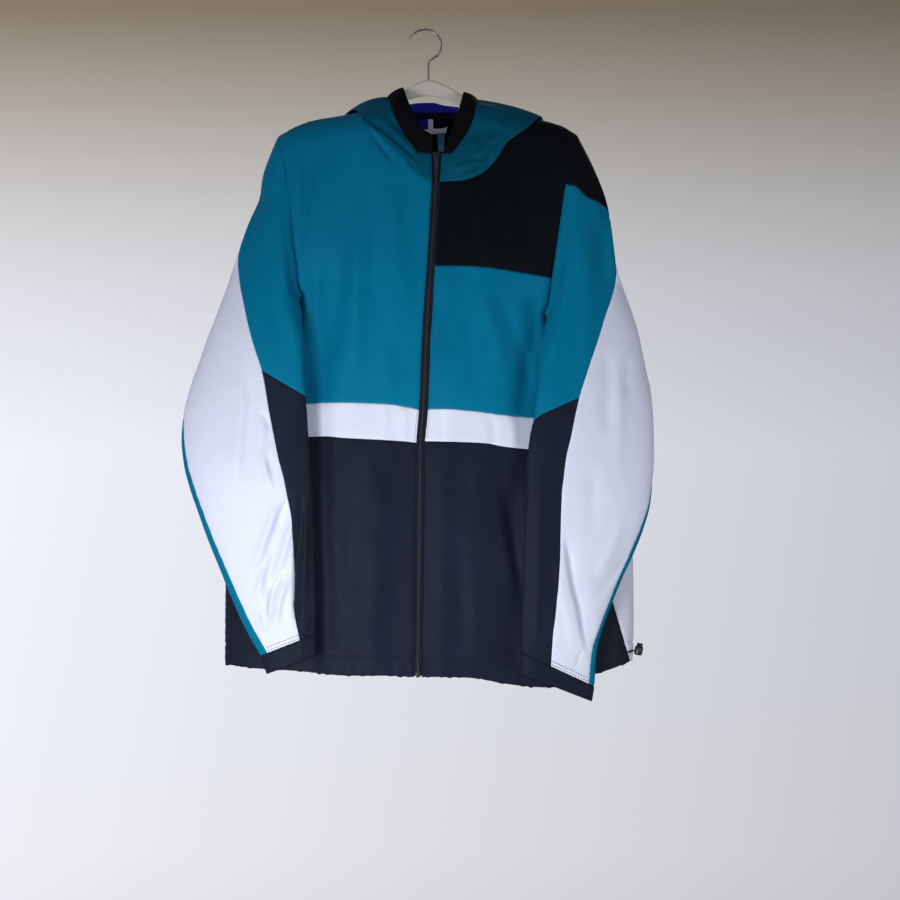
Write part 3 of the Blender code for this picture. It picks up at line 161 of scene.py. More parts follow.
# Zip.
ZIP_HALF = 5.0
ZIP_ROW = 2.6            # distance of the fronts' stitch row from the zip
COLLAR_TOP = -157.0
COLLAR_Y = -43.0
NECK_SEAM = -191.0
TAPE_END = -806.0
TEETH_END = -800.0
TOOTH_PITCH = 1.35
TOOTH = ((-0.9, 0.0), (0.35, 0.95), (1.9, 0.5), (2.1, 0.0))     # outline: place across, height
TOOTH_HALF = 0.62
TOOTH_FOOT = 0.9         # distance of the teeth's feet from the front's depth
TAPE_POINTS = (260, 5)
SLIDER_Z = -160.0
STOP_Z = -807.0

# Neck.
NECK_POINTS = 60
NECK_LEVEL = -104.0      # the back's depth is read no higher than here
NECK_BEAT = (0.21, 1.1, 0.11)                    # of the unevenness of the pieces inside the neck
NECK_END = -150.0        # lower end of the lining and of the black sheets of painted shade before it
# Black sheets of painted shade for the shaded inside of the back neck below the tape; the gap between them
# shows the blue lining.
PAINTED_SHADE_SHEETS = (("right", -26, -8.8, -109.5, -109.5, 6.3), ("left", 2.5, 42, -109.5, -109.5, 6.3),
           ("low", -8.8, 2.5, -122.5, -123.5, 6.0))     # name, sides, heights there and depth
LABEL = ((3.6, -122.8), (-2.0, -123.8), (8, -129), (26.2, -128.4), (28.2, -119.6), (21.5, -122.0),
         (10.2, -122.2), (10, -110.4), (3.8, -110.4))
LABEL_DEPTH = 7.4        # distance before the back
STRIP_RIGHT = (15.5, 16.5)                       # sides of the facing beside the zip, at both ends
STRIP_LEFT = (24.5, 23.5)
STRIP_Z = (-130.0, -153.0)

# Heights of the colour blocks' seams, at the sides and at the zip.
RIGHT_STRIPE = (-466.0, -507.0)
RIGHT_STRIPE_ZIP = (-475.0, -516.0)
RIGHT_HEM = -793.0
RIGHT_HEM_ZIP = -807.5
LEFT_STRIPE = (-487.0, -528.0)
LEFT_STRIPE_ZIP = (-474.0, -514.0)
LEFT_HEM = -789.0
LEFT_HEM_ZIP = -807.0
YOKE_Z = -310.0
YOKE_ZIP = -295.0

# Hanger.
HOOK_RADIUS = 20.5
HOOK_WIRE = 3.0
HANGER_HALF = 3.4
HANGER_DROP = 3.4
HANGER_SPAN = (-172.0, 178.1, 3.0)               # places along the arms: first, last and step
HOOK_TURN = (156, -31, -6)                       # its bend in degrees: first, last and step
HOOK_NECK = ((12.5, 0, -33.0), (7.5, 0, -37.0), (4.8, 0, -41.0), (4.4, 0, -47.0), (4.4, 0, -61.6))

# Hem cord and its lock.
CORD = ((254.2, -15.6, -778.0), (258.3, -13.2, -776.5), (261.0, -10.6, -775.5))
CORD_RADIUS = 1.1
LOCK_MIDDLE = (267.6, -5.0, -774.0)
LOCK_TILT = 12.0

# Camera, light and surroundings.
FRAME = 900              # pixels of the frame's side
PIXEL = 1.25             # one of them at the jacket
VIEW = (31.25, -15.0, -525.0)
DISTANCE = 9.0           # in metres, as all that follows
SENSOR = 36.0
AIM = (0.0, 0.0, -0.66)
LIGHTS = (("key", (-0.72, -1.25, -1.00), 0.5, 1.95, 58), ("fill", (1.5, -1.45, -1.05), 1.0, 2.7, 85),
          ("rear", (0.4, 1.9, 0.2), 1.6, 12.0, 180))      # name, place, size, power and spread
WORLD_RUN = 0.17         # height of a direction at which the surroundings reach their far tones
WORLD_SIDE = 0.085       # the same to either side, where they grow brighter to the left
SIDE_STRENGTH = (1.28, 0.72)
WALL_TONES = ((0.0, (0.30, 0.30, 0.33)), (0.336, (0.71, 0.72, 0.76)), (0.50, (0.72, 0.745, 0.815)),
              (0.565, (0.617, 0.617, 0.665)), (0.598, (0.52, 0.51, 0.515)), (0.647, (0.332, 0.305, 0.262)),
              (0.68, (0.205, 0.168, 0.127)), (1.0, (0.20, 0.20, 0.22)))
FLOOR = (4.0, -1.6, (0.7, 0.7, 0.72, 1.0), 0.9)           # radius, height, colour and roughness


# ---- tables
# Top line of the shoulders, from the right sleeve's tip to the left one's.
SHOULDER = (("x", "z"), (
    (-260, -158), (-184, -132), (-163, -120.5), (-141, -112.5), (-110, -107), (-85, -102.5), (-70, -96),
    (-62, -92), (9, -76), (79, -92), (89, -94), (119, -104), (145, -111.5), (170, -118.5), (190, -130),
    (270, -158)))
# Edge of the body: armhole down to the underarm, then the side.
RIGHT_EDGE = (("z", "x", "front", "back", "round"), (
    (-60, -192, -14, 12, 1.2), (-132, -184, -16, 14, 1.2), (-160, -177.5, -22, 18, 1.2),
    (-190, -173.5, -28, 20, 1.2), (-225, -169, -33, 18, 1.2), (-262, -164.5, -36, 8, 1.2),
    (-300, -160, -33, -4, 1.2), (-318, -158.8, -31.5, -11, 1.15), (-327, -158.2, -28, -16.5, 1.1),
    (-330, -158, -22.5, -22.5, 1.1), (-342, -172, -20, -20, 1.1), (-358, -190, -14, -14, 1.1),
    (-378, -210, -8, -8, 1.3), (-400, -224, -4, -4, 1.5), (-430, -234, -1, -1, 1.8), (-480, -240, 0, 0, 2),
    (-600, -246, 0, 0, 2), (-700, -250.5, 0, 0, 2), (-830, -251.5, 0, 0, 2)))
LEFT_EDGE = (("z", "x", "front", "back", "round"), (
    (-60, 196, -14, 12, 1.2), (-130, 190, -16, 14, 1.2), (-160, 183.8, -22, 18, 1.2),
    (-192, 176.2, -28, 20, 1.2), (-245, 168, -34, 14, 1.2), (-285, 162, -34, 2, 1.2),
    (-320, 157, -33, -5, 1.2), (-340, 154.5, -31.5, -11, 1.15), (-349, 153.3, -28, -16.5, 1.1),
    (-352, 153, -22.5, -22.5, 1.1), (-364, 168, -20, -20, 1.1), (-382, 190, -14, -14, 1.1),
    (-402, 212, -8, -8, 1.3), (-425, 230, -4, -4, 1.5), (-455, 243, -1, -1, 1.8), (-500, 250, 0, 0, 2),
    (-600, 255.5, 0, 0, 2), (-666, 260.5, 0, 0, 2), (-740, 261.2, 0, 0, 2), (-830, 258.5, 0, 0, 2)))
CENTRE = (("z", "front", "back"), (
    (-60, -22, 16), (-100, -29, 19), (-150, -38, 24), (-200, -47, 29), (-300, -57, 33), (-400, -61, 34),
    (-500, -63, 34), (-600, -63, 33), (-700, -60, 30), (-840, -54, 27)))
# Soft folds of the back and of the fronts: a ridge is proud (+), a valley is sunk (-).
BACK_FOLDS = (("x0", "z0", "x1", "z1", "width", "height"), (
    (-62, -340, -74, -800, 22, 5), (8, -360, 4, -800, 24, -4), (82, -340, 96, -800, 22, 5),
    (-120, -450, -158, -800, 18, -4), (132, -470, 168, -800, 18, -4)))
FOLDS = (("x0", "z0", "x1", "z1", "width", "height"), (
    (-138, -300, -122, -790, 13, -8), (-70, -150, -98, -440, 16, 6), (-44, -190, -46, -520, 15, 4),
    (-84, -170, -122, -420, 12, -5), (-72, -500, -66, -790, 20, 4), (26, -480, 22, -800, 16, 3),
    (140, -330, 118, -480, 12, -6), (112, -560, 104, -800, 16, -5), (95, -310, 30, -455, 15, 4),
    (60, -310, 20, -400, 14, -4), (72, -530, 66, -790, 18, 4)))
# Centre front: the zip's middle, from the neck seam down to the hem.
ZIP = (("z", "x"), (
    (-134, 15), (-163, 14.4), (-191, 13.8), (-275, 8.8), (-375, 2.5), (-475, -1.9), (-516, -5),
    (-663, -6.9), (-820, -8.8)))
# Seams between the colour blocks, hems and necks.
STRIPE_TOP_RIGHT = (
    (-147, -467), (-125, -465.8), (-100, -465.8), (-50, -467.6), (-30, -470), (-6.5, -475))
STRIPE_LOW_RIGHT = (
    (-144, -508.5), (-125, -508), (-100, -510), (-50, -512.6), (-30, -514), (-9.7, -516))
HEM_RIGHT = (
    (-251.5, -793), (-216, -796.5), (-156, -801), (-109, -805), (-70, -806), (-42, -806.5), (-13.8, -807.5))
YOKE_LOW = (
    (13.6, -295), (44, -295.3), (81, -297.6), (119, -303.5), (158.9, -310))
STRIPE_TOP_LEFT = (
    (3.2, -474), (25, -474), (69, -477.6), (94, -481), (135, -484.5), (169, -487))
STRIPE_LOW_LEFT = (
    (0.1, -514), (44, -515), (75, -516.5), (100, -521), (130, -524), (179, -528))
HEM_LEFT = (
    (-3.8, -807), (15, -807), (67, -810), (94, -815), (160, -821), (200, -808), (235, -797), (257, -789))
NECK_RIGHT = (
    (-62, -92), (-56, -108), (-47, -130), (-34, -155), (-14, -178), (8.8, -191))
NECK_LEFT = (
    (18.8, -191), (40, -181), (57, -161), (68, -137), (75, -112), (79, -92))
NECK_BACK = (
    (-62, -92), (-36, -101), (9, -106), (55, -101), (79, -92))
SIDE_SEAM = (("z", "x"), (
    (-352, 153), (-400, 156), (-450, 160), (-487, 169), (-528, 179), (-600, 200), (-714, 234.5),
    (-789, 257)))
# Sleeve sections, one row for each level from armhole to cuff. "o" is the outer end, "i" the
# inner fold. "seam" and "strip" are the places of the white panel's two seams: 0 is the inner
# fold, 1 the outer edge, and more than 1 lies on the back.
SLEEVE_COLUMNS = ("ox", "oz", "ix", "iz", "seam", "strip")
RIGHT_SLEEVE = (
    (-184, -132, -158, -330, 1, 1.45), (-201, -175, -166, -340, 1, 1.42), (-218, -233, -161, -360, 1, 1.38),
    (-235, -283, -155, -387, 0.97, 1.34), (-250, -328, -151.5, -413, 0.745, 1.28),
    (-262, -360, -150, -437, 0.567, 1.22), (-272, -386, -148, -458, 0.442, 1.15),
    (-282, -415, -146, -478, 0.377, 1.09), (-294, -450, -145, -498, 0.321, 1.03),
    (-302, -484, -143, -520, 0.279, 1), (-304, -513, -142, -543, 0.246, 0.98),
    (-301, -543, -140, -566, 0.218, 0.97), (-294, -571, -139, -590, 0.202, 0.96),
    (-283, -603, -138, -616, 0.19, 0.955), (-270, -639, -137, -644, 0.197, 0.945),
    (-256, -673, -136, -671, 0.211, 0.935), (-243, -705, -135, -698, 0.245, 0.92),
    (-230, -735, -135, -720, 0.285, 0.905), (-217, -760, -135, -738, 0.295, 0.89),
    (-205, -781, -135, -753, 0.298, 0.88), (-197, -804, -135, -780, 0.298, 0.88))
LEFT_SLEEVE = (
    (190, -130, 153, -352, 1, 1.45), (209, -168, 161, -362, 1, 1.42), (229, -223, 156, -382, 1, 1.38),
    (240, -298, 148, -409, 0.98, 1.34), (254, -339, 142.5, -437, 0.72, 1.28),
    (266, -376, 138.5, -462, 0.53, 1.24), (276, -423, 135, -485, 0.405, 1.18),
    (282, -451, 131, -504, 0.368, 1.13), (285, -481, 128, -523, 0.342, 1.08),
    (286, -513, 126, -541, 0.313, 1.03), (286, -540, 125, -563, 0.298, 1.01),
    (284, -565, 125, -584, 0.285, 1), (281, -593, 124, -605, 0.289, 0.99),
    (272, -625, 123, -631, 0.307, 0.975), (260, -655, 122, -658, 0.335, 0.966),
    (246, -685, 122, -684, 0.36, 0.966), (234, -714, 121, -705, 0.384, 0.966),
    (223, -743, 120, -726, 0.41, 0.962), (214, -776, 120, -748, 0.415, 0.94),
    (211, -819, 119, -776, 0.412, 0.925), (208, -838, 119, -803, 0.412, 0.925))
DEPTH_COLUMNS = ("oy", "front", "back")
SLEEVE_DEPTHS = (
    (0, 12, 12), (-3, 16, 12), (-6, 19, 12), (-9, 20, 12), (-12, 21, 11), (-15, 22, 11), (-17, 22, 10),
    (-19, 22, 10), (-21, 22, 10), (-23, 22, 10), (-25, 22, 10), (-27, 22, 10), (-29, 21, 10), (-31, 20, 10),
    (-33, 19, 10), (-35, 18, 10), (-37, 17, 10), (-38, 15, 9), (-39, 13, 9), (-40, 12, 9), (-40, 12, 9))
# Hood, laid back, in rows from the zip to the middle of the back: a is the band's seam, b the
# band's free edge, f the fold below.
HOOD_COLUMNS = ("ax", "ay", "az", "bx", "by", "bz", "fx", "fy", "fz", "bulge")
HOOD_RIGHT = (
    (9.4, -43, -155, 9.4, -41, -131.5, 8.8, -48, -190.7, 1),
    (-7, -44, -153, 1, -42, -126, -8, -49, -180, 3), (-16, -43, -143, -6, -38, -116, -24, -46, -162, 5),
    (-25, -38, -131, -13, -33, -104, -41, -42, -145, 7),
    (-33, -31, -118, -18.5, -26, -93, -59, -36, -129, 8),
    (-40, -20, -102, -23, -16, -83, -76, -25, -114, 8), (-46.6, 0, -82.6, -28, 0, -70.8, -89, 0, -98.5, 5),
    (-52, 21, -90, -34, 18, -76, -112, 27, -118, 8), (-55, 40, -106, -38, 37, -88, -126, 38, -170, 12),
    (-48, 53, -119, -36, 49, -98, -119, 44, -235, 15), (-26, 61, -127, -21, 56, -104, -80, 47, -285, 17),
    (8, 64, -130, 8, 59, -107, 8, 49, -305, 18))
HOOD_LEFT = (
    (19.5, -43, -155, 19.5, -41, -134, 18.8, -48, -190.7, 1),
    (31, -44, -154.5, 25, -42, -144, 45, -50, -189.5, 3), (40, -42, -147, 30, -38, -128, 68, -48, -182, 6),
    (48, -37, -136, 36, -33, -113, 88, -44, -164, 8), (55, -30, -124.5, 40.5, -26, -102, 102, -38, -142, 9),
    (61, -19, -108, 45, -16, -88, 128, -24, -122, 8), (65.8, 0, -86.5, 49, 0, -76.4, 145, 0, -107, 4),
    (70, 21, -94, 54, 18, -81, 150, 27, -124, 7), (73, 40, -108, 57, 37, -91, 148, 38, -172, 12),
    (66, 53, -120, 54, 49, -99, 136, 44, -236, 15), (42, 61, -127, 37, 56, -104, 97, 47, -285, 17),
    (8.3, 64, -130, 8.3, 59, -107, 8.3, 49, -305, 18))
HANGER_TOP = (("x", "z"), (
    (-62, -98), (-54, -94.5), (-44, -88.5), (-28, -76.5), (-12, -67.5), (4, -61.5), (20, -66), (34, -73),
    (49, -83), (62, -92.5), (72, -96), (79, -97.5)))
HANGER_HEIGHT = (("x", "height"), (
    (-172, 12), (-100, 17), (-40, 15), (-28, 13), (-12, 17), (4, 20), (20, 18), (34, 16), (49, 15),
    (60, 15), (110, 17), (178, 12)))
HANGER_PROFILE = (
    (-0.55, 1.0), (0.55, 1.0), (0.92, 0.93), (1.0, 0.8), (0.86, 0.5), (1.0, 0.2), (0.92, 0.07), (0.55, 0.0),
    (-0.55, 0.0), (-0.92, 0.07), (-1.0, 0.2), (-0.86, 0.5), (-1.0, 0.8), (-0.92, 0.93))
LOCK_PROFILE = (
    (-7.7, 0.0), (-7.7, 3.6), (-7.2, 4.6), (-6.0, 5.1), (-1.0, 5.3), (1.0, 5.3), (2.6, 5.1), (3.4, 4.5),
    (3.6, 3.9), (4.2, 3.8), (6.8, 3.7), (7.5, 3.0), (7.7, 0.0))

# Creases: ridges first, then steps. A ridge stands proud of the cloth (+) or is sunk (-). A step
# lifts one side of its line only. Each row is a width, a height and the line's x, z, x, z.
BODY_CREASES = ((
    (9, 3, -160, -152, -158, -215, -150, -300), (8, -3.5, -176, -140, -168, -215, -160, -320, -150, -450),
    (12, -3, -68, -135, -68, -200, -60, -310, -38, -400, -20, -455),
    (10, 2.5, -86, -150, -92, -240, -84, -360, -78, -460), (9, 2, -36, -190, -32, -280, -16, -380),
    (11, -2, -132, -230, -130, -330, -126, -460, -122, -510), (7, -1.6, -44, -455, -41, -490, -44, -520),
    (6, 1.4, -26, -462, -24, -500, -28, -525),
    (9, -2.2, 86, -305, 100, -350, 118, -400, 134, -452, 140, -488),
    (9, 2, 66, -300, 78, -350, 92, -400, 104, -470), (8, -1.6, 44, -330, 56, -390, 60, -450),
    (7, -1.6, 20, -472, 22, -500, 18, -525), (6, -1.4, 82, -480, 86, -505, 84, -530),
    (6, 1.3, 108, -482, 110, -505, 112, -530), (13, 2.2, -50, -540, -56, -640, -60, -760),
    (14, -2, -86, -530, -92, -640, -98, -780), (13, 2.2, 40, -540, 52, -640, 66, -780),
    (12, -2.4, 96, -540, 112, -640, 128, -740, 134, -800), (6, 1.6, 150, -540, 150, -640, 148, -780),
    (12, 2, 60, -200, 72, -250, 76, -296), (3, -3.4, -74, -120, -64, -134, -52, -150, -34, -170),
    (7, -5, -136, -140, -143, -175, -152, -230, -160, -300), (6, 3, -160, -140, -162, -190, -165, -250),
    (5, -2, -62, -120, -66, -150, -72, -190, -73, -240), (10, -1.6, 112, -140, 118, -200, 120, -280)),
    ((10, 2.4, 86, -545, 104, -640, 124, -730),))
HOOD_CREASES = ((
    (3, -6, -80, -108, -60, -121, -36, -141, -16, -158, -4, -169),
    (5, 3.6, -70, -104, -44, -121, -24, -140, -8, -156), (2.6, -2.2, -66, -132, -52, -148, -40, -163),
    (3.6, 1.8, -60, -124, -46, -138, -32, -156), (3, -3.2, 62, -168, 76, -158, 84, -146, 96, -138),
    (3.4, 3.2, 58, -160, 72, -152, 80, -140, 92, -130), (2.6, -3.6, 46, -182, 60, -174, 74, -170),
    (2.6, -3.2, 72, -176, 80, -166, 82, -156), (3.4, 2.8, 34, -176, 50, -170, 64, -164),
    (6, -1.6, 56, -112, 66, -128, 64, -146), (7, 1.6, 76, -108, 92, -118, 104, -124)),
    ())
RIGHT_ARM_CREASES = ((
    (10, 3, -196, -175, -204, -240, -212, -300, -204, -370, -196, -440),
    (7, -2.6, -180, -150, -186, -230, -188, -310, -178, -400, -170, -450),
    (6, 2.2, -170, -230, -166, -320, -160, -400, -156, -440),
    (5, -5, -206, -470, -192, -500, -196, -530, -186, -560), (4, 4.5, -190, -508, -198, -540, -190, -580),
    (5, -11, -164, -575, -172, -591, -180, -607, -189, -629, -198, -655, -208, -680, -214, -712),
    (6, 5, -162, -600, -176, -650, -188, -700), (3.5, -8, -174, -664, -182, -684, -190, -706, -196, -744),
    (4, 4.4, -168, -680, -180, -712, -186, -750), (3, -3, -206, -716, -200, -740, -196, -756),
    (3, 1.4, -212, -720, -206, -744, -202, -762), (3.5, 5, -147, -590, -149, -640, -152, -700, -153, -740),
    (3.5, -5, -155, -620, -160, -665, -161, -710, -158, -750),
    (3.5, 2, -144, -740, -152, -760, -158, -768)),
    ((9, 3.6, -228, -405, -222, -470, -226, -520, -230, -580),
    (9, 11, -170, -585, -186, -630, -200, -680, -204, -720),
    (5, -4.5, -150, -560, -150, -620, -151, -690, -154, -750)))
LEFT_ARM_CREASES = ((
    (10, 2.8, 196, -215, 200, -280, 206, -340, 200, -400, 186, -460),
    (8, -2.4, 214, -230, 222, -290, 226, -330), (8, 2.2, 176, -240, 170, -330, 158, -420, 148, -470),
    (9, -2.4, 229, -395, 228, -450, 226, -510), (7, -1.8, 252, -410, 252, -460),
    (8, 2.2, 242, -400, 242, -480, 238, -560), (9, -1.8, 206, -540, 210, -600, 206, -640),
    (4, -4, 172, -620, 178, -650, 184, -690, 192, -722, 198, -757, 205, -790),
    (6, 2.2, 160, -640, 168, -690, 180, -740, 186, -785), (7, 2, 250, -600, 232, -650, 210, -690),
    (3, -1.6, 196, -770, 190, -790, 184, -800), (5, 1.8, 146, -540, 142, -620, 140, -720, 138, -790),
    (5, -1.8, 132, -560, 130, -650, 128, -760)),
    ((9, 2.8, 172, -620, 182, -680, 196, -740, 206, -795), (7, -2.6, 262, -640, 242, -680, 212, -712)))
BACK_CREASES = ((
    (9, 3, -150, -150, -120, -260, -104, -380), (9, 3, 150, -150, 122, -270, 108, -400),
    (8, -2.6, -166, -230, -140, -330, -128, -440), (8, -2.6, 160, -240, 138, -350, 126, -460),
    (12, 2.6, -30, -420, -36, -600, -40, -790), (12, -2.2, 44, -430, 48, -600, 56, -790),
    (10, 2.4, -170, -520, -190, -660, -204, -780), (10, 2.4, 176, -540, 196, -660, 214, -780)),
    ())
RIPPLES = (("across", "down", "shift", "height"), (
    (0.115, 0.021, 0.3, 0.3), (0.071, -0.043, 1.9, 0.32), (0.031, 0.088, 4.1, 0.24),
    (0.163, 0.052, 2.6, 0.14), (0.127, -0.134, 5.2, 0.1), (0.245, 0.061, 0.9, 0.06)))

# ---- small maths
def lerp(a, b, t):
    return a + (b - a) * t


def smooth(t):
    t = np.clip(t, 0.0, 1.0)
    return t * t * (3.0 - 2.0 * t)


def bell(distance, width):
    return np.exp(-(distance / width) ** 2)


def wave(place, beat):
    """An uneven wave. Its beat is the pitch, the sway of the pitch and that sway's own pitch."""
    pitch, sway, slow = beat
    return np.sin(place * pitch + sway * np.sin(place * slow))


def stack(*axes):
    return np.stack(axes, axis=-1)


def curve(keys, values):
    """Smooth reading of a table: Hermite pieces whose slopes never overshoot."""
    keys = np.array(keys, float)
    values = np.array(values, float)
    if keys[0] > keys[-1]:
        keys = keys[::-1]
        values = values[::-1]
    rise = np.diff(values) / np.diff(keys)
    slope = np.zeros(len(keys))
    slope[0] = rise[0]
    slope[-1] = rise[-1]
    for i in range(1, len(rise)):
        if rise[i - 1] * rise[i] > 0.0:
            slope[i] = 2.0 * rise[i - 1] * rise[i] / (rise[i - 1] + rise[i])

    def read(key):
        key = np.clip(key, keys[0], keys[-1])
        i = np.clip(np.searchsorted(keys, key, side="right") - 1, 0, len(keys) - 2)
        width = keys[i + 1] - keys[i]
        t = (key - keys[i]) / width
        return (values[i] * (1 + 2 * t) * (1 - t) ** 2 + slope[i] * width * t * (1 - t) ** 2
                + values[i + 1] * t * t * (3 - 2 * t) - slope[i + 1] * width * t * t * (1 - t))

    return read


def curves(names, rows):
    """A reader for each column of a table, where the first column holds the keys."""
    columns = list(zip(*rows))
    return {name: curve(columns[0], column) for name, column in zip(names[1:], columns[1:])}


def row_curves(names, rows):
    """The same for a table whose keys are its row numbers."""
    return curves(("row",) + names, [(number,) + row for number, row in enumerate(rows)])


def run_of(points):
    """Share of a line's length at each of its points."""
    lengths = np.linalg.norm(np.diff(points, axis=0), axis=1)
    run = np.concatenate([[0.0], np.cumsum(lengths)])
    return run / run[-1]


def along(points, shares):
    """Points at shares of the length of a smooth curve through the given ones."""
    points = np.array(points, float)
    run = run_of(points)
    return stack(*(curve(run, axis)(shares) for axis in points.T))


def eased(even, share):
    """Shares from 0 to 1, drawn closer together at both ends."""
    return lerp(even, (1.0 - np.cos(PI * even)) / 2.0, share)


def spread(length):
    """Shares from 0 to 1 for the points of a line of this length."""
    return eased(np.linspace(0.0, 1.0, max(int(round(length / STEP)), 6) + 1), EVEN_SHARE)


def join(*lines):
    """Lines end to end, with each shared point once."""
    return np.concatenate([lines[0]] + [line[1:] for line in lines[1:]])


def unit(vectors):
    return vectors / np.linalg.norm(vectors, axis=-1, keepdims=True)


# ---- surfaces
RIGHT = curves(*RIGHT_EDGE)
LEFT = curves(*LEFT_EDGE)
MIDDLE = curves(*CENTRE)
SHOULDER_LINE = curves(*SHOULDER)["z"]
ZIP_LINE = curves(*ZIP)["x"]
SIDE_LINE = curves(*SIDE_SEAM)["x"]


def fold_height(x, z, table):
    """How far a table's soft folds lift the cloth at a place."""
    total = np.zeros(np.broadcast(x, z).shape)
    for x0, z0, x1, z1, width, height in table[1]:
        length = math.hypot(x1 - x0, z1 - z0)
        t = ((x - x0) * (x1 - x0) + (z - z0) * (z1 - z0)) / length ** 2
        side = ((x - x0) * (z1 - z0) - (z - z0) * (x1 - x0)) / length
        fade = smooth((t + FOLD_PAST) / FADE) * smooth((1.0 + FOLD_PAST - t) / FADE)
        total += height * fade * bell(side, width)
    return total


def crease_height(x, z, table):
    """How far a table's creases lift the cloth at a place."""
    total = np.zeros(np.broadcast(x, z).shape)
    for is_step, (width, height, *line) in [(kind, row) for kind in (0, 1) for row in table[kind]]:
        line = along(np.reshape(line, (-1, 2)), np.linspace(0.0, 1.0, CREASE_POINTS))
        best = np.full(total.shape, 1e9)
        side = np.zeros(total.shape)
        place = np.zeros(total.shape)
        for i, (a, b) in enumerate(zip(line, line[1:])):
            run = b - a
            t = np.clip(((x - a[0]) * run[0] + (z - a[1]) * run[1]) / run.dot(run), 0.0, 1.0)
            dx = x - a[0] - run[0] * t
            dz = z - a[1] - run[1] * t
            away = np.hypot(dx, dz)
            near = away < best
            best = np.where(near, away, best)
            side = np.where(near, np.sign(dx * run[1] - dz * run[0]) * away, side)
            place = np.where(near, (i + t) / (len(line) - 1), place)
        taper = smooth(place / FADE) * smooth((1.0 - place) / FADE)
        shape = bell(best, width) * (side / width * STEP_SLOPE if is_step else 1.0)
        total += height * taper * shape
    return total


def ripple(across, down):
    """Faint unevenness of thin cloth."""
    total = 0.0
    for kx, kz, shift, height in RIPPLES[1]:
        swing = 0.8 * np.sin(0.013 * down + shift)
        total = total + height * np.sin(kx * across + kz * down + shift + swing)
    return total


def body_edge(name, x, z):
    """A reading at height z of the edge on the side of the body where x lies."""
    return np.where(x < MIDDLE_X, RIGHT[name](z), LEFT[name](z))


def body_share(x, z):
    """0 at the body's side edge, 1 at its middle."""
    edge_x = body_edge("x", x, z)
    return np.clip((x - edge_x) / (MIDDLE_X - edge_x), 0.0, 1.0)


def body_y(x, z, face):
    """Depth of the body's cloth, for face "front" or "back"."""
    share = body_share(x, z)
    swell = (1.0 - (1.0 - share) ** SWELL) ** (1.0 / body_edge("round", x, z))
    y = lerp(body_edge(face, x, z), MIDDLE[face](z), swell)
    folds, way = (FOLDS, -1.0) if face == "front" else (BACK_FOLDS, 1.0)
    y = y + way * fold_height(x, z, folds) * smooth(share / FOLD_FADE[face])
    below = np.clip((SHOULDER_LINE(x) - z) / SHOULDER_ROUND, 0.0, 1.0)
    return y * np.sqrt(1.0 - (1.0 - below) ** 2)


def front_y(x, z):
    """Depth of the fronts as they hang. Below the underarm they run on from the armhole's edge,
    while the body's own edge turns away behind the sleeve."""
    underarm = np.where(x < MIDDLE_X, RIGHT_UNDERARM, LEFT_UNDERARM)
    start = underarm + ARM_ROW
    edge_x = body_edge("x", x, start)
    share = np.clip((x - edge_x) / (MIDDLE_X - edge_x), 0.0, 1.0)
    swell = (1.0 - (1.0 - share) ** SWELL) ** (1.0 / FRONT_ROUND)
    y = lerp(body_edge("front", x, start), MIDDLE["front"](z), swell)
    y = y - fold_height(x, z, FOLDS) * smooth(share / FOLD_FADE["front"])
    inward = (x - edge_x) * np.where(x < MIDDLE_X, 1.0, -1.0)
    weight = smooth(inward / RUN_EDGE) * smooth((underarm + RUN_TOP[0] - z) / RUN_TOP[1])
    weight = weight * smooth((z - underarm + RUN_LOW[0]) / RUN_LOW[1])
    return lerp(body_y(x, z, "front"), y, weight)


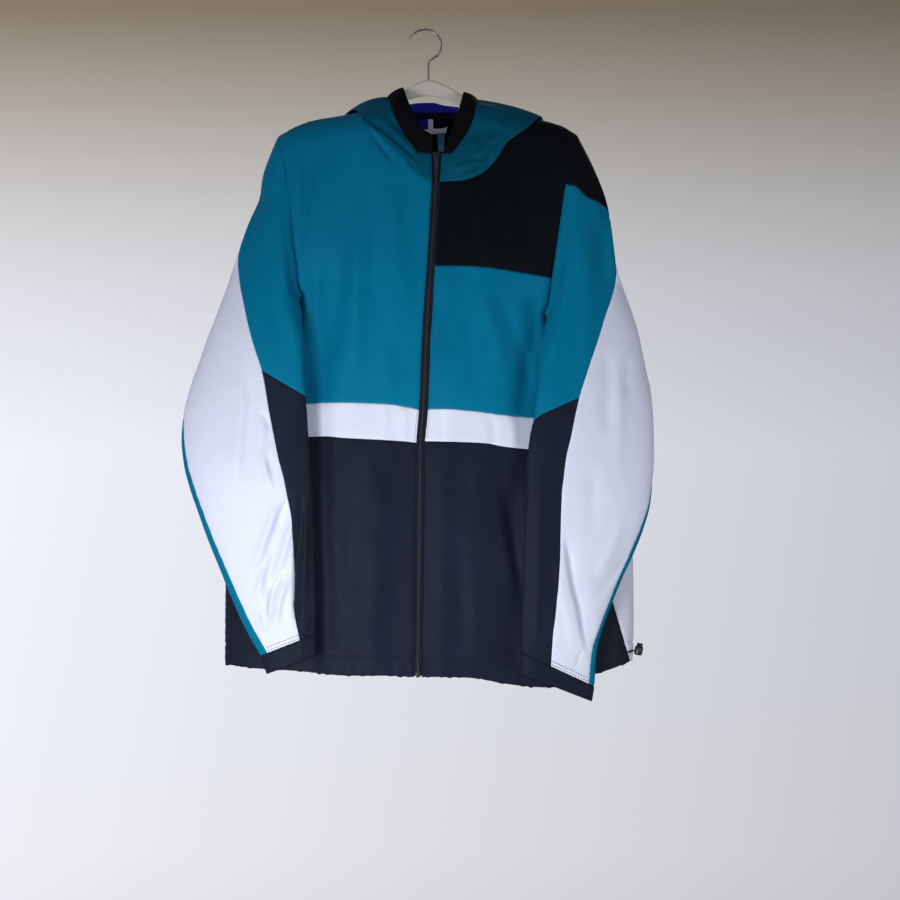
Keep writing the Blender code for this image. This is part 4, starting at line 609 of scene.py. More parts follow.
class Sleeve:
    """A sleeve's tube: k runs from armhole to cuff, turn round the tube from 0 at the
    inner fold over the front to pi at the outer edge and back behind to 2 pi."""

    def __init__(self, rows, edge, creases, lap, pinch):
        self.edge = edge
        self.lap = lap
        self.pinch = pinch
        self.at = {**row_curves(SLEEVE_COLUMNS, rows), **row_curves(DEPTH_COLUMNS, SLEEVE_DEPTHS)}
        self.creases = creases
        self.underarm = float(self.at["iz"](0.0))
        self.side = -1.0 if float(self.at["ix"](0.0)) < 0.0 else 1.0

    def hanging(self, end, k):
        """Depth at which the inner (i) or outer (o) end hangs before the body."""
        return self.limit(self.at[end + "x"](k), self.at[end + "z"](k), CLEAR) - FOLD_HALF

    def seam_turn(self, name, k):
        """The turn at which a seam lies at k."""
        place = self.at[name](k)
        front = np.arccos(np.clip(1.0 - 2.0 * place, -1.0, 1.0))
        behind = 2.0 * PI - np.arccos(np.clip(1.0 - 2.0 * (2.0 - place), -1.0, 1.0))
        return np.where(place <= 1.0, front, behind)

    def plain(self, k, turn):
        """The tube's own section, before it is fitted to armhole and body."""
        s = (1.0 - np.cos(turn)) / 2.0
        first = self.edge["front"](self.underarm)
        inner = lerp(self.hanging("i", k), first, np.maximum(1.0 - k / FOLD_RUN, 0.0) ** 3)
        outer = np.minimum(self.at["oy"](k), self.hanging("o", k))
        half = np.where(turn <= PI, -self.at["front"](k), self.at["back"](k))
        return stack(lerp(self.at["ix"](k), self.at["ox"](k), s),
                     lerp(inner, outer, s) + half * np.abs(np.sin(turn)) ** FULL,
                     lerp(self.at["iz"](k), self.at["oz"](k), s))

    def armhole(self, turn):
        """The body's armhole edge at the same turn."""
        z = lerp(self.underarm, float(self.at["oz"](0.0)), (1.0 - np.cos(turn)) / 2.0)
        x = self.edge["x"](z)
        return stack(x, np.where(turn <= PI, body_y(x, z, "front"), body_y(x, z, "back")), z)

    def limit(self, x, z, clear):
        """The furthest back that the tube may reach at a place before the body."""
        edge_x = self.edge["x"](z)
        inward = (x - edge_x) * np.where(edge_x < 0.0, 1.0, -1.0)
        away = np.hypot(np.maximum(-inward, 0.0), np.maximum(z - self.underarm, 0.0))
        beside = self.edge["front"](np.minimum(z, self.underarm)) - clear + AWAY_SLOPE * away
        before = (inward > 0.0) & (self.underarm > z)
        front = np.minimum(body_y(x, z, "front"), front_y(x, z))
        return np.where(before, front - clear, beside)

    def fitted(self, k, turn):
        point = self.plain(k, turn)
        rest = 1.0 - smooth(k / BLEND_END)
        place = (1.0 - np.cos(turn)) / 2.0
        near = np.maximum(1.0 - place / UNDERARM_REACH, 0.0) ** 2
        point += (self.armhole(turn) - self.plain(np.zeros_like(k), turn)) * rest[..., None]
        amount, centre, width = self.lap
        point[..., 0] -= self.side * amount * smooth(k / LAP_RUN) * bell(k - centre, width) * near
        amount, centre, width = self.pinch
        point[..., 0] -= self.side * amount * place * bell(point[..., 2] - centre, width)
        point[..., 0] -= self.side * EDGE_LAP * (1.0 - smooth(k / HEAD_RUN))
        limit = self.limit(point[..., 0], point[..., 2], CLEAR * smooth(k / CLEAR_RUN))
        point[..., 1] = np.where(k > 0.0, np.minimum(point[..., 1], limit), point[..., 1])
        return point

    def __call__(self, k, turn):
        k, turn = np.broadcast_arrays(np.asarray(k, float), np.asarray(turn, float))
        point = self.fitted(k, turn)
        inner = self.fitted(k, np.zeros_like(turn))[..., 1]
        place = (1.0 - np.cos(turn)) / 2.0
        round_way = np.abs(np.sin(turn))
        proud = FOLD_HALF * smooth(k / CLEAR_RUN) * round_way ** FULL
        held = (turn > 0.0) & (turn <= PI) & (k > 0.0) & (k < BLEND_END)
        easing = FOLD_EASE * smooth((k - BLEND_END / 2.0) / (BLEND_END / 2.0))
        fold = np.minimum(point[..., 1], inner - proud + FOLD_SLOPE * place + easing)
        point[..., 1] = np.where(held, fold, point[..., 1])
        x, z = point[..., 0], point[..., 2]
        fade = round_way ** FACING * smooth(k / CREASE_RUN)
        point[..., 1] -= crease_height(x, z, self.creases) * np.where(turn <= PI, fade, 0.0)
        point[..., 1] += SLEEVE_RIPPLE * ripple(z * 0.7, x) * np.where(turn > PI, fade, 0.0)
        return point


class Hood:
    """Half of the hood: s runs from the zip over the shoulder to the middle of the back.
    t runs from the band's seam (0) over the outside to the fold (1)."""

    def __init__(self, rows):
        self.at = row_curves(HOOD_COLUMNS, rows)
        self.side = -1.0 if float(self.at["fx"](HOOD_TOP)) < 0.0 else 1.0

    def corner(self, letter, s):
        return stack(*(self.at[letter + axis](s) for axis in "xyz"))

    def outward(self, s):
        """The direction in which the outer layer bulges."""
        turn = PI * s / HOOD_END
        return unit(stack(self.side * np.sin(turn) * HOOD_SLANT, -np.cos(turn), HOOD_SLANT * np.sin(turn)))

    def outer(self, s, t):
        s, t = np.broadcast_arrays(np.asarray(s, float), np.asarray(t, float))
        point = lerp(self.corner("a", s), self.corner("f", s), t[..., None])
        bulge = self.at["bulge"](s) * np.abs(np.sin(PI * t)) ** HOOD_FULL
        point = point + self.outward(s) * bulge[..., None]
        x, y, z = point[..., 0], point[..., 1], point[..., 2]
        below = SHOULDER_LINE(x) - z
        clear = HOOD_CLEAR * np.clip((below + HOOD_CLEAR) / HOOD_CLEAR, 0.0, 1.0)
        front = np.minimum(y, body_y(x, z, "front") - clear * np.minimum(s, 1.0))
        back = np.maximum(y, body_y(x, z, "back") + clear)
        y = np.where((s < HOOD_TOP) & (s > 0.0), front, y)
        return stack(x, np.where(s > HOOD_TOP, back, y), z)

    def band(self, s, t):
        """The band, from its seam (0) to its free edge (1)."""
        s, t = np.broadcast_arrays(np.asarray(s, float), np.asarray(t, float))
        point = lerp(self.outer(s, np.zeros_like(t)), self.corner("b", s), t[..., None])
        return point + self.outward(s) * BAND_BULGE * np.sin(PI * t)[..., None]


def patch(top, low, left, right):
    """Places between four sides. Each side is a line of (x, z), left to right or top down."""
    u_top, u_low, v_left, v_right = run_of(top), run_of(low), run_of(left), run_of(right)
    v = lerp(v_left[:, None], v_right[:, None], u_top[None, :])
    u = lerp(u_top[None, :], u_low[None, :], v)
    v = v[..., None]
    u = u[..., None]
    grid = (1 - v) * top[None] + v * low[None] + (1 - u) * left[:, None] + u * right[:, None]
    grid -= (1 - u) * (1 - v) * top[0] + u * (1 - v) * top[-1]
    grid -= (1 - u) * v * low[0] + u * v * low[-1]
    return grid[..., 0], grid[..., 1]


# ---- looks
def tune(made, **values):
    """Sets a node's own values, or its inputs where it has none of that name."""
    for name, value in values.items():
        if hasattr(made, name):
            setattr(made, name, value)
        else:
            made.inputs[name.replace("_", " ")].default_value = value
    return made


def node(tree, kind, **values):
    return tune(tree.nodes.new(kind), **values)


def relief(tree, height, strength, distance):
    """A bump made from the output of another node."""
    bump = node(tree, "ShaderNodeBump", Strength=strength, Distance=distance)
    tree.links.new(height, bump.inputs["Height"])
    return bump


def start_material(name, colour, shade, grain, stops=(0.0, 1.0), **values):
    """A material whose colour wavers between two tones. Gives what more is built on."""
    made = bpy.data.materials.new(name)
    made.use_nodes = True
    tree = made.node_tree
    shader = tune(tree.nodes["Principled BSDF"], **values)
    place = node(tree, "ShaderNodeTexCoord").outputs["Object"]
    noise = node(tree, "ShaderNodeTexNoise", **grain)
    tree.links.new(place, noise.inputs["Vector"])
    tone = node(tree, "ShaderNodeValToRGB")
    for stop, position, tint in zip(tone.color_ramp.elements, stops, (shade, colour)):
        stop.position = position
        stop.color = (*tint, 1.0)
    tree.links.new(noise.outputs["Fac"], tone.inputs["Fac"])
    tree.links.new(tone.outputs["Color"], shader.inputs["Base Color"])
    return made, tree, shader, place, noise.outputs["Fac"]


def nylon(name, colour, shade, roughness=0.55, crumple=0.35, shine=0.12):
    """Thin woven nylon: uneven dye, a fine plain weave and faint crumples."""
    made, tree, shader, place, _ = start_material(
        name, colour, shade, {"Scale": 9.0, "Detail": 3.0, "Roughness": 0.55}, (0.3, 0.7),
        Roughness=roughness, Sheen_Weight=0.03, Sheen_Roughness=0.45, Specular_IOR_Level=shine)
    both = node(tree, "ShaderNodeMath", operation="MULTIPLY")
    for number, direction in enumerate("XZ"):
        thread = node(tree, "ShaderNodeTexWave", Scale=WEAVE_SCALE, Distortion=0.6,
                      bands_direction=direction)
        tree.links.new(place, thread.inputs["Vector"])
        tree.links.new(thread.outputs["Fac"], both.inputs[number])
    weave = relief(tree, both.outputs["Value"], 0.10, 0.0003)
    crumples = node(tree, "ShaderNodeTexNoise", Scale=26.0, Detail=4.0, Roughness=0.5, Distortion=0.7)
    tree.links.new(place, crumples.inputs["Vector"])
    bump = relief(tree, crumples.outputs["Fac"], crumple, 0.003)
    tree.links.new(weave.outputs["Normal"], bump.inputs["Normal"])
    tree.links.new(bump.outputs["Normal"], shader.inputs["Normal"])
    return made


def speckled(name, colour, shade, roughness, metallic=0.0, grain=180.0, detail=4.0,
             bump=(0.3, 0.0001), **values):
    """Moulded plastic, worked metal or dull thread with a faint unevenness."""
    made, tree, shader, _, height = start_material(
        name, colour, shade, {"Scale": grain, "Detail": detail}, Roughness=roughness,
        Metallic=metallic, **values)
    tree.links.new(relief(tree, height, *bump).outputs["Normal"], shader.inputs["Normal"])
    return made


def knit(name, colour, shade):
    """Dull knitted or woven band."""
    return speckled(name, colour, shade, 0.85, grain=WEAVE_SCALE, detail=3.0, bump=(0.35, 0.0006),
                    Sheen_Weight=0.02, Specular_IOR_Level=0.08)


# Look, slot, maker, material, colour, shade and what else the maker is told.
LOOK_ROWS = (
    ("teal", "teal_cloth", nylon, "teal_nylon", (0, 0.178, 0.325), (0, 0.156, 0.288), {"shine": 0.04}),
    # The hood is the same teal cloth as the body; this darker copy is painted shade, for the top of the
    # jacket where less light falls.
    ("hood", "teal_cloth", nylon, "teal_hood_nylon", (0, 0.095, 0.17), (0, 0.079, 0.142), {"shine": 0.04}),
    # A darker copy of the teal cloth for the facing beside the zip's top: painted shade inside the neck.
    ("dull_teal", "teal_cloth", nylon, "dull_teal_nylon", (0.014, 0.055, 0.09), (0.011, 0.045, 0.075), {}),
    ("white", "white_cloth", nylon, "white_nylon", (0.73, 0.78, 0.93), (0.69, 0.74, 0.9),
     {"crumple": 0.4, "shine": 0.25}),
    ("navy", "navy_cloth", nylon, "navy_nylon", (0.01, 0.015, 0.03), (0.0078, 0.012, 0.0245),
     {"shine": 0.07}),
    ("black", "black_cloth", nylon, "black_nylon", (0.0034, 0.005, 0.0085), (0.0025, 0.0038, 0.0066),
     {"shine": 0.05}),
    ("blue", "blue_lining", nylon, "blue_lining", (0.026, 0.03, 0.5), (0.019, 0.022, 0.42),
     {"roughness": 0.6, "shine": 0.05}),
    ("band", "black_cloth", knit, "black_band", (0.0035, 0.0032, 0.0052), (0.0022, 0.002, 0.0036), {}),
    ("tape", "black_cloth", knit, "zip_tape", (0.013, 0.0155, 0.026), (0.0085, 0.0105, 0.018), {}),
    ("teeth", "black_plastic", speckled, "zip_teeth", (0.006, 0.007, 0.012), (0.003, 0.004, 0.007),
     {"roughness": 0.6}),
    ("plastic", "black_plastic", speckled, "black_plastic", (0.012, 0.013, 0.018), (0.008, 0.009, 0.012),
     {"roughness": 0.35}),
    ("metal", "dark_metal", speckled, "dark_metal", (0.03, 0.034, 0.05), (0.02, 0.023, 0.034),
     {"roughness": 0.32, "metallic": 0.7}),
    ("wire", "bright_wire", speckled, "bright_wire", (0.36, 0.33, 0.29), (0.27, 0.25, 0.22),
     {"roughness": 0.25, "metallic": 1.0, "grain": 60.0}),
    ("ivory", "ivory_plastic", speckled, "ivory_plastic", (0.66, 0.63, 0.56), (0.6, 0.57, 0.51),
     {"roughness": 0.42}),
    ("dark_thread", "black_cloth", speckled, "dark_thread", (0.012, 0.013, 0.02), (0.006, 0.007, 0.011),
     {"roughness": 0.8}),
    ("bold_thread", "black_cloth", speckled, "bold_thread", (0.018, 0.02, 0.032), (0.01, 0.012, 0.02),
     {"roughness": 0.8}),
    ("grey_thread", "white_cloth", speckled, "grey_thread", (0.36, 0.38, 0.46), (0.28, 0.3, 0.36),
     {"roughness": 0.8}),
    ("teal_thread", "teal_cloth", speckled, "teal_thread", (0, 0.075, 0.125), (0, 0.055, 0.095),
     {"roughness": 0.8}))
LOOKS = {look: (make(name, colour, shade, **more), slot)
         for look, slot, make, name, colour, shade, more in LOOK_ROWS}


# ---- building
STITCHES = {}


def add_mesh(name, vertices, faces, look, body="garment", replaced=()):
    mesh = bpy.data.meshes.new(name)
    mesh.from_pydata((np.asarray(vertices) * MM).tolist(), [], faces)
    mesh.materials.append(LOOKS[look][0])
    mesh.polygons.foreach_set("use_smooth", [True] * len(mesh.polygons))
    item = bpy.data.objects.new(name, mesh)
    bpy.context.scene.collection.objects.link(item)
    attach(item, body)
    if replaced:
        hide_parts(*replaced)
    return item


def grid_faces(rows, columns, ring=False):
    across = columns if ring else columns - 1
    return [(i * columns + j, i * columns + (j + 1) % columns, (i + 1) * columns + (j + 1) % columns,
             (i + 1) * columns + j) for i in range(rows - 1) for j in range(across)]


def caps(first, last, count):
    """The two end faces of a body, from the numbers of their first points."""
    return [tuple(range(first, first + count))[::-1], tuple(range(last, last + count))]


def add_rings(name, rings, look, replaced, closed=True):
    """A body through rings of points, closed by a face at each end or by its own points."""
    count, sides = rings.shape[:2]
    faces = grid_faces(count, sides, ring=True) + (caps(0, (count - 1) * sides, sides) if closed else [])
    return add_mesh(name, rings.reshape(-1, 3), faces, look, replaced=replaced)


def grid_normals(points):
    normals = np.cross(np.gradient(points, axis=0), np.gradient(points, axis=1))
    return normals / np.maximum(np.linalg.norm(normals, axis=-1, keepdims=True), 1e-9)


def runs(points):
    """Distance of each point of a grid from its top, low, left and right side."""
    down = np.linalg.norm(np.diff(points, axis=0), axis=-1)
    across = np.linalg.norm(np.diff(points, axis=1), axis=-1)
    rows, columns = points.shape[:2]
    top = np.concatenate([np.zeros((1, columns)), np.cumsum(down, axis=0)])
    left = np.concatenate([np.zeros((rows, 1)), np.cumsum(across, axis=1)], axis=1)
    return {"top": top, "low": top[-1:] - top, "left": left, "right": left[:, -1:] - left}


def inset(points, normals, side, distance):
    """A line that keeps its distance from one side of a grid, with its normals."""
    away = runs(points)[side]
    if side in ("top", "low"):
        points, normals, away = (np.swapaxes(item, 0, 1) for item in (points, normals, away))
    if side in ("low", "right"):
        points, normals, away = points[:, ::-1], normals[:, ::-1], away[:, ::-1]
    return [np.array([[np.interp(distance, a, p[:, n]) for n in range(3)] for a, p in zip(away, values)])
            for values in (points, normals)]


def sew(look, line, facing, pitch, length, width, height):
    """Adds a row of stitches along a line. Each is a ridge that is highest in its middle."""
    run = np.concatenate([[0.0], np.cumsum(np.linalg.norm(np.diff(line, axis=0), axis=1))])
    vertices, faces = STITCHES.setdefault(look, ([], []))
    for start in (np.arange(int(run[-1] / pitch)) + 0.25) * pitch:
        ends = [np.array([np.interp(d, run, axis) for axis in line.T]) for d in (start, start + length)]
        normal = np.array([np.interp(start, run, axis) for axis in facing.T])
        normal /= max(np.linalg.norm(normal), 1e-9)
        ahead = (ends[1] - ends[0]) / max(np.linalg.norm(ends[1] - ends[0]), 1e-9)
        side = np.cross(ahead, normal)
        first = len(vertices)
        for end, size in ((ends[0], 0.5), (lerp(ends[0], ends[1], 0.5), 1.0), (ends[1], 0.5)):
            base = end + normal * (STITCH_LIFT - height * (1.0 - size))
            vertices.append(base - side * width * size / 2)
            vertices.append(base + normal * height * size)
            vertices.append(base + side * width * size / 2)
        for n in (first, first + 3):
            faces += [(n, n + 1, n + 4, n + 3), (n + 1, n + 2, n + 5, n + 4), (n + 2, n, n + 3, n + 5)]
        faces += [(first, first + 2, first + 1), (first + 6, first + 7, first + 8)]


def cloth(name, points, look, outward=FRONT, seams=ALL_SIDES, rows=(), thick=CLOTH, hem=False,
          ring=False, gathers=0.0, alone=False):
    """A shell of thin cloth from a grid of points. Seams are the sides that sink into a seam,
    rows are the stitches as (side, distance, thread), and hem says that the low side has a cord
    channel. A shell that stands alone replaces no solid."""
    normals = grid_normals(points)
    flip = float(np.dot(normals[tuple(n // 2 for n in points.shape[:2])], outward)) < 0.0
    if flip:
        normals = -normals
    away = runs(points)
    sink = np.zeros(points.shape[:2])
    shown = points.copy()
    place = points[..., 0] * PUCKER_SLANT[0] + points[..., 2] * PUCKER_SLANT[1]
    height, reach, beat = PUCKER
    for side in seams:
        sink = np.maximum(sink, SEAM_DEPTH * bell(away[side], SEAM_WIDTH))
        sink = sink + height * np.exp(-away[side] / reach) * wave(place, beat)
    if hem:
        low, place = away["low"], points[..., 0]
        sink = sink + HEM_ROW[0] * bell(low - HEM_CHANNEL, HEM_ROW[1])
        height, reach, beat = HEM_WAVE
        sink = sink + height * bell(low, reach) * wave(place, beat)
        bumps = np.maximum(wave(place, HEM_BUMPS[0]) * wave(place, HEM_BUMPS[1]), 0.0)
        scallop = 2.0 * bumps ** 1.3 + 0.6 * np.sin(place * 0.057 + 1.0)
        shown[..., 2] -= HEM_SCALLOP * scallop * bell(low, HEM_REACH)
    if gathers:
        place = np.arange(points.shape[1]) / points.shape[1] * gathers * 2.0 * PI
        sink = sink + GATHER[0] * wave(place, GATHER[1])[None, :]
    shown -= normals * sink[..., None]
    for side, distance, thread in rows:
        stitch = BOLD_STITCH if thread == "bold_thread" else STITCH
        sew(thread, *inset(shown, normals, side, distance), *stitch)
    faces = grid_faces(*points.shape[:2], ring)
    if not flip:
        faces = [face[::-1] for face in faces]
    full_name, replaced = (name, ()) if alone else ("cloth_" + name, (name,))
    item = add_mesh(full_name, shown.reshape(-1, 3), faces, look, replaced=replaced)
    shell = item.modifiers.new("thickness", "SOLIDIFY")
    shell.thickness = thick * MM
    shell.offset = -1.0
    declare(points, ring)


def declare(points, ring):
    """Works out the width and length of the flat cut of cloth a shell is made from, and keeps neither."""
    closed = np.concatenate([points, points[:, :1]], axis=1) if ring else points
    away = runs(closed)
    a = closed[1:, 1:] - closed[:-1, :-1]
    b = closed[1:, :-1] - closed[:-1, 1:]
    area = float(np.sum(np.linalg.norm(np.cross(a, b), axis=-1))) / 2.0 * MM * MM
    width = max(float(np.max(away["left"][:, -1])) * MM, NARROWEST)
    length = max(float(np.max(away["top"][-1])) * MM, NARROWEST)
    if area > width * length:
        length = area / width
    if area < FULLNESS * width * length:
        width = area / (FULLNESS * length)


# ---- the garment
def arm_turn(z):
    """Turn on the left armhole at a height."""
    return math.acos(1.0 - 2.0 * arm_share(z))


def arm_share(z):
    return (LEFT_UNDERARM - z) / (LEFT_UNDERARM - ARM_TOP)


def depth_grid(x, z, face, out=0.0):
    """A grid of points on the body, with its creases."""
    fade = smooth(body_share(x, z) / CREASE_FADE[face])
    if face == "front":
        y = front_y(x, z) - (crease_height(x, z, BODY_CREASES) + FRONT_RIPPLE * ripple(x, z)) * fade - out
    else:
        y = body_y(x, z, face) + (crease_height(x, z, BACK_CREASES) + ripple(x, z)) * fade + out
    return stack(x, y, z)


def armhole_line(sleeve, first, last):
    """Places down an armhole between two turns."""
    turns = lerp(first, last, np.linspace(0.0, 1.0, max(int(abs(last - first) / PI * 90), 8)))
    return sleeve.armhole(turns)[:, (0, 2)]


def edge_line(reader, z0, z1):
    z = lerp(z0, z1, spread(abs(z1 - z0)))
    return stack(reader(z), z)


def shoulder_line(x0, x1):
    x = lerp(x0, x1, spread(abs(x1 - x0)))
    return stack(x, SHOULDER_LINE(x))


def tucked(line, across):
    """A neck line that runs up under the fold of the hood."""
    shares = spread(130)
    return along(line, shares) + np.sin(PI * shares)[:, None] * (across, abs(across))


def make_front(side, top, blocks):
    """A front in its colour blocks, top down. Each block is its name, its look, its outer side,
    the height at which it ends at the zip and its low line."""
    way = -1 if side == "right" else 1
    zip_z = NECK_SEAM
    columns = run_of(top)
    for piece, look, outer, zip_end, points in blocks:
        z = lerp(zip_z, zip_end, run_of(outer))
        centre = stack(ZIP_LINE(z) + way * ZIP_HALF, z)
        if zip_z == NECK_SEAM:
            top[-1 if side == "right" else 0] = centre[0]
        left, right = (outer, centre)[::-way]
        low = along(points, columns)
        low[0], low[-1] = left[-1], right[-1]
        thread = "teal_thread" if look == "teal" else "dark_thread"
        rows = (("right" if side == "right" else "left", ZIP_ROW, thread),)
        last = piece == "lower"
        if last:
            rows += (("low", HEM_CHANNEL, "dark_thread"),)
        cloth(f"front_{side}_{piece}", depth_grid(*patch(top, low, left, right), "front"), look,
              seams=("top", "left", "right") if last else ALL_SIDES, rows=rows, hem=last)
        top, zip_z = low, zip_end


def make_fronts(right_sleeve, left_sleeve):
    arm = join(armhole_line(right_sleeve, PI, 0.0), edge_line(RIGHT["x"], RIGHT_UNDERARM, RIGHT_STRIPE[0]))
    stripe = edge_line(RIGHT["x"], *RIGHT_STRIPE)
    make_front("right", join(shoulder_line(RIGHT_TIP, RIGHT_NECK), tucked(NECK_RIGHT, 5.0)), (
        ("upper", "teal", arm, RIGHT_STRIPE_ZIP[0], (arm[-1],) + STRIPE_TOP_RIGHT),
        ("stripe", "white", stripe, RIGHT_STRIPE_ZIP[1], (stripe[-1],) + STRIPE_LOW_RIGHT),
        ("lower", "navy", edge_line(RIGHT["x"], RIGHT_STRIPE[1], RIGHT_HEM), RIGHT_HEM_ZIP, HEM_RIGHT)))
    turn = arm_turn(YOKE_Z)
    arm = join(armhole_line(left_sleeve, turn, 0.0), edge_line(SIDE_LINE, LEFT_UNDERARM, LEFT_STRIPE[0]))
    make_front("left", join(tucked(NECK_LEFT, -5.0), shoulder_line(LEFT_NECK, LEFT_TIP)), (
        ("yoke", "black", armhole_line(left_sleeve, PI, turn), YOKE_ZIP, YOKE_LOW),
        ("upper", "teal", arm, LEFT_STRIPE_ZIP[0], STRIPE_TOP_LEFT),
        ("stripe", "white", edge_line(SIDE_LINE, *LEFT_STRIPE), LEFT_STRIPE_ZIP[1], STRIPE_LOW_LEFT),
        ("lower", "navy", edge_line(SIDE_LINE, LEFT_STRIPE[1], LEFT_HEM), LEFT_HEM_ZIP, HEM_LEFT)))
    z = lerp(LEFT_UNDERARM, LEFT_HEM, spread(LEFT_UNDERARM - LEFT_HEM))[:, None]
    x = lerp(SIDE_LINE(z), LEFT["x"](z), spread(60)[None])
    cloth("side_left", depth_grid(x, z + 0.0 * x, "front"), "white", seams=("left",),
          rows=(("low", HEM_CHANNEL + 1.0, "dark_thread"),), hem=True)


def make_back(right_sleeve, left_sleeve):
    right = join(armhole_line(right_sleeve, PI, 2 * PI), edge_line(RIGHT["x"], RIGHT_UNDERARM, RIGHT_HEM))
    left = join(armhole_line(left_sleeve, PI, 2 * PI), edge_line(LEFT["x"], LEFT_UNDERARM, LEFT_HEM))
    left = stack(*(np.interp(run_of(right), run_of(left), axis) for axis in left.T))
    top = join(shoulder_line(RIGHT_TIP, RIGHT_NECK), along(NECK_BACK, spread(150)),
               shoulder_line(LEFT_NECK, LEFT_TIP))
    shares = run_of(top)
    hem = lerp(right[-1], left[-1], shares[:, None]) - stack(0 * shares, HEM_DIP * np.sin(PI * shares))
    x, z = patch(top, hem, right, left)
    cloth("back", depth_grid(x[::2, ::2], z[::2, ::2], "back"), "white", BEHIND,
          ("top", "left", "right"), (("low", HEM_CHANNEL, "grey_thread"),), hem=True)


def make_sleeve(side, sleeve):
    def grid(k0, k1, low, high, width):
        """A panel between two levels, from one line of turns to another."""
        parts = spread(width)[None]
        dip = ELBOW_DIP[side] * np.maximum(1.0 - parts / DIP_REACH, 0.0) ** 2
        k = lerp(k0 + dip * (k0 == ELBOW), k1 + dip * (k1 == ELBOW),
                 spread(abs(k1 - k0) * SLEEVE_PITCH)[:, None])
        return sleeve(k, lerp(low(k), high(k), parts))

    def inner(k):
        return 0.0 * k

    def full(k):
        return 0.0 * k + 2.0 * PI

    def seam(k):
        return sleeve.seam_turn("seam", k) + SEAM_TUCK * (1.0 - smooth(k - TUCK_END))

    def strip(k):
        return sleeve.seam_turn("strip", k)

    def front_edge(k):
        if side == "right":
            return seam(k)
        share = np.clip(k / CAP_LOW, 0.0, 1.0)
        place = np.clip(share - CAP_DIP * bell(share - 0.5, CAP_DIP_WIDTH), 0.0, 1.0)
        cap = np.arccos(1.0 - 2.0 * lerp(arm_share(CAP_Z), 1.0, place))
        return np.where(k < CAP_LOW, cap + SEAM_TUCK * share ** 8, seam(k))

    cuff_rows = [("low", distance, "bold_thread") for distance in CUFF_ROWS]
    cloth(f"sleeve_{side}_upper", grid(0, ELBOW, inner, front_edge, 170), "teal")
    cloth(f"sleeve_{side}_lower", grid(ELBOW, CUFF, inner, front_edge, 90), "navy")
    if side == "left":
        cloth("sleeve_left_cap", grid(0, CAP_LOW, front_edge, seam, 90), "black",
              seams=("top", "low", "left"))
    cloth(f"sleeve_{side}_outer", grid(0, CUFF, seam, strip, 150), "white", rows=cuff_rows)
    cloth(f"sleeve_{side}_back", grid(0, CUFF, strip, full, 150), "teal", BEHIND)
    levels = np.linspace(CUFF, CUFF + 1.0, CUFF_GRID[0])[:, None]
    turns = np.linspace(0.0, 2.0 * PI, CUFF_GRID[1] + 1)[None, :-1]
    cloth(f"cuff_{side}", sleeve(levels, turns), "navy", (sleeve.side, 0.0, 0.0), ("top",), ring=True,
          gathers=CUFF_GATHERS)


def make_hood(side, hood):
    rows, columns = HOOD_GRID
    s = np.repeat(np.linspace(0.0, HOOD_END, rows)[:, None], columns, axis=1)
    t = eased(np.linspace(0.0, 1.0, columns), HOOD_EASE)[None] + 0.0 * s
    points = hood.outer(s, t)
    inside = np.sin(PI * np.clip(t, 0.0, 1.0)) ** 0.5
    front = smooth((HOOD_TOP - s) / HOOD_RUN)
    x, z = points[..., 0], points[..., 2]
    points[..., 1] -= crease_height(x, z, HOOD_CREASES) * inside * front
    points[..., 1] += HOOD_RIPPLES[0] * ripple(x, z) * inside * smooth((s - HOOD_TOP) / HOOD_RUN)
    points[..., 1] -= HOOD_RIPPLES[1] * ripple(x * 2.0, z * 2.0) * inside * front
    outward = hood.outward(np.array([HOOD_END / 2.0]))[0]
    # The hood look is the teal cloth darkened: painted shade.
    cloth(f"hood_{side}", points, "hood", outward, ("left",), (("left", HOOD_ROW, "teal_thread"),))
    s = s[:, :BAND_POINTS]
    t = np.linspace(0.0, 1.0, BAND_POINTS)[None] * lerp(BAND_LOW, 1.0, smooth(s / HOOD_TOP))
    cloth(f"hood_band_{side}", hood.band(s, t), "band", outward, (), thick=BAND_CLOTH)


def make_hood_back(right_hood, left_hood):
    count = HOOD_GRID[1]
    steps = np.linspace(HOOD_BACK_START, HOOD_END, count)
    folds = np.concatenate([right_hood.corner("f", steps), left_hood.corner("f", steps)[-2::-1]])
    x, z = along(HOOD_BACK, np.linspace(0.0, 1.0, len(folds))).T
    start = depth_grid(x, z, "back", HOOD_BACK_CLEAR)
    end = folds + np.array(HOOD_BACK_LAP)
    points = lerp(start[None], end[None], np.linspace(0.0, 1.0, count)[:, None, None])
    clear = body_y(points[..., 0], points[..., 2], "back") + HOOD_BACK_CLEAR
    points[:-1, :, 1] = np.maximum(points[:-1, :, 1], clear[:-1])
    # The hood look is the teal cloth darkened: painted shade.
    cloth("hood_back", points, "hood", BEHIND, ("top",))


# ---- zip, neck and hard pieces
def at_place(depth, x, z, *face):
    """A reading of a depth at a single place."""
    return float(depth(np.array([x]), np.array([z]), *face)[0])


def zip_y(x, z):
    """Depth of the tapes. Above the neck seam they follow the standing collar."""
    share = (z - COLLAR_TOP) / (NECK_SEAM - COLLAR_TOP)
    collar = lerp(COLLAR_Y, body_y(x, np.full_like(z, NECK_SEAM), "front"), share)
    return np.where(z >= NECK_SEAM, collar, body_y(x, z, "front"))


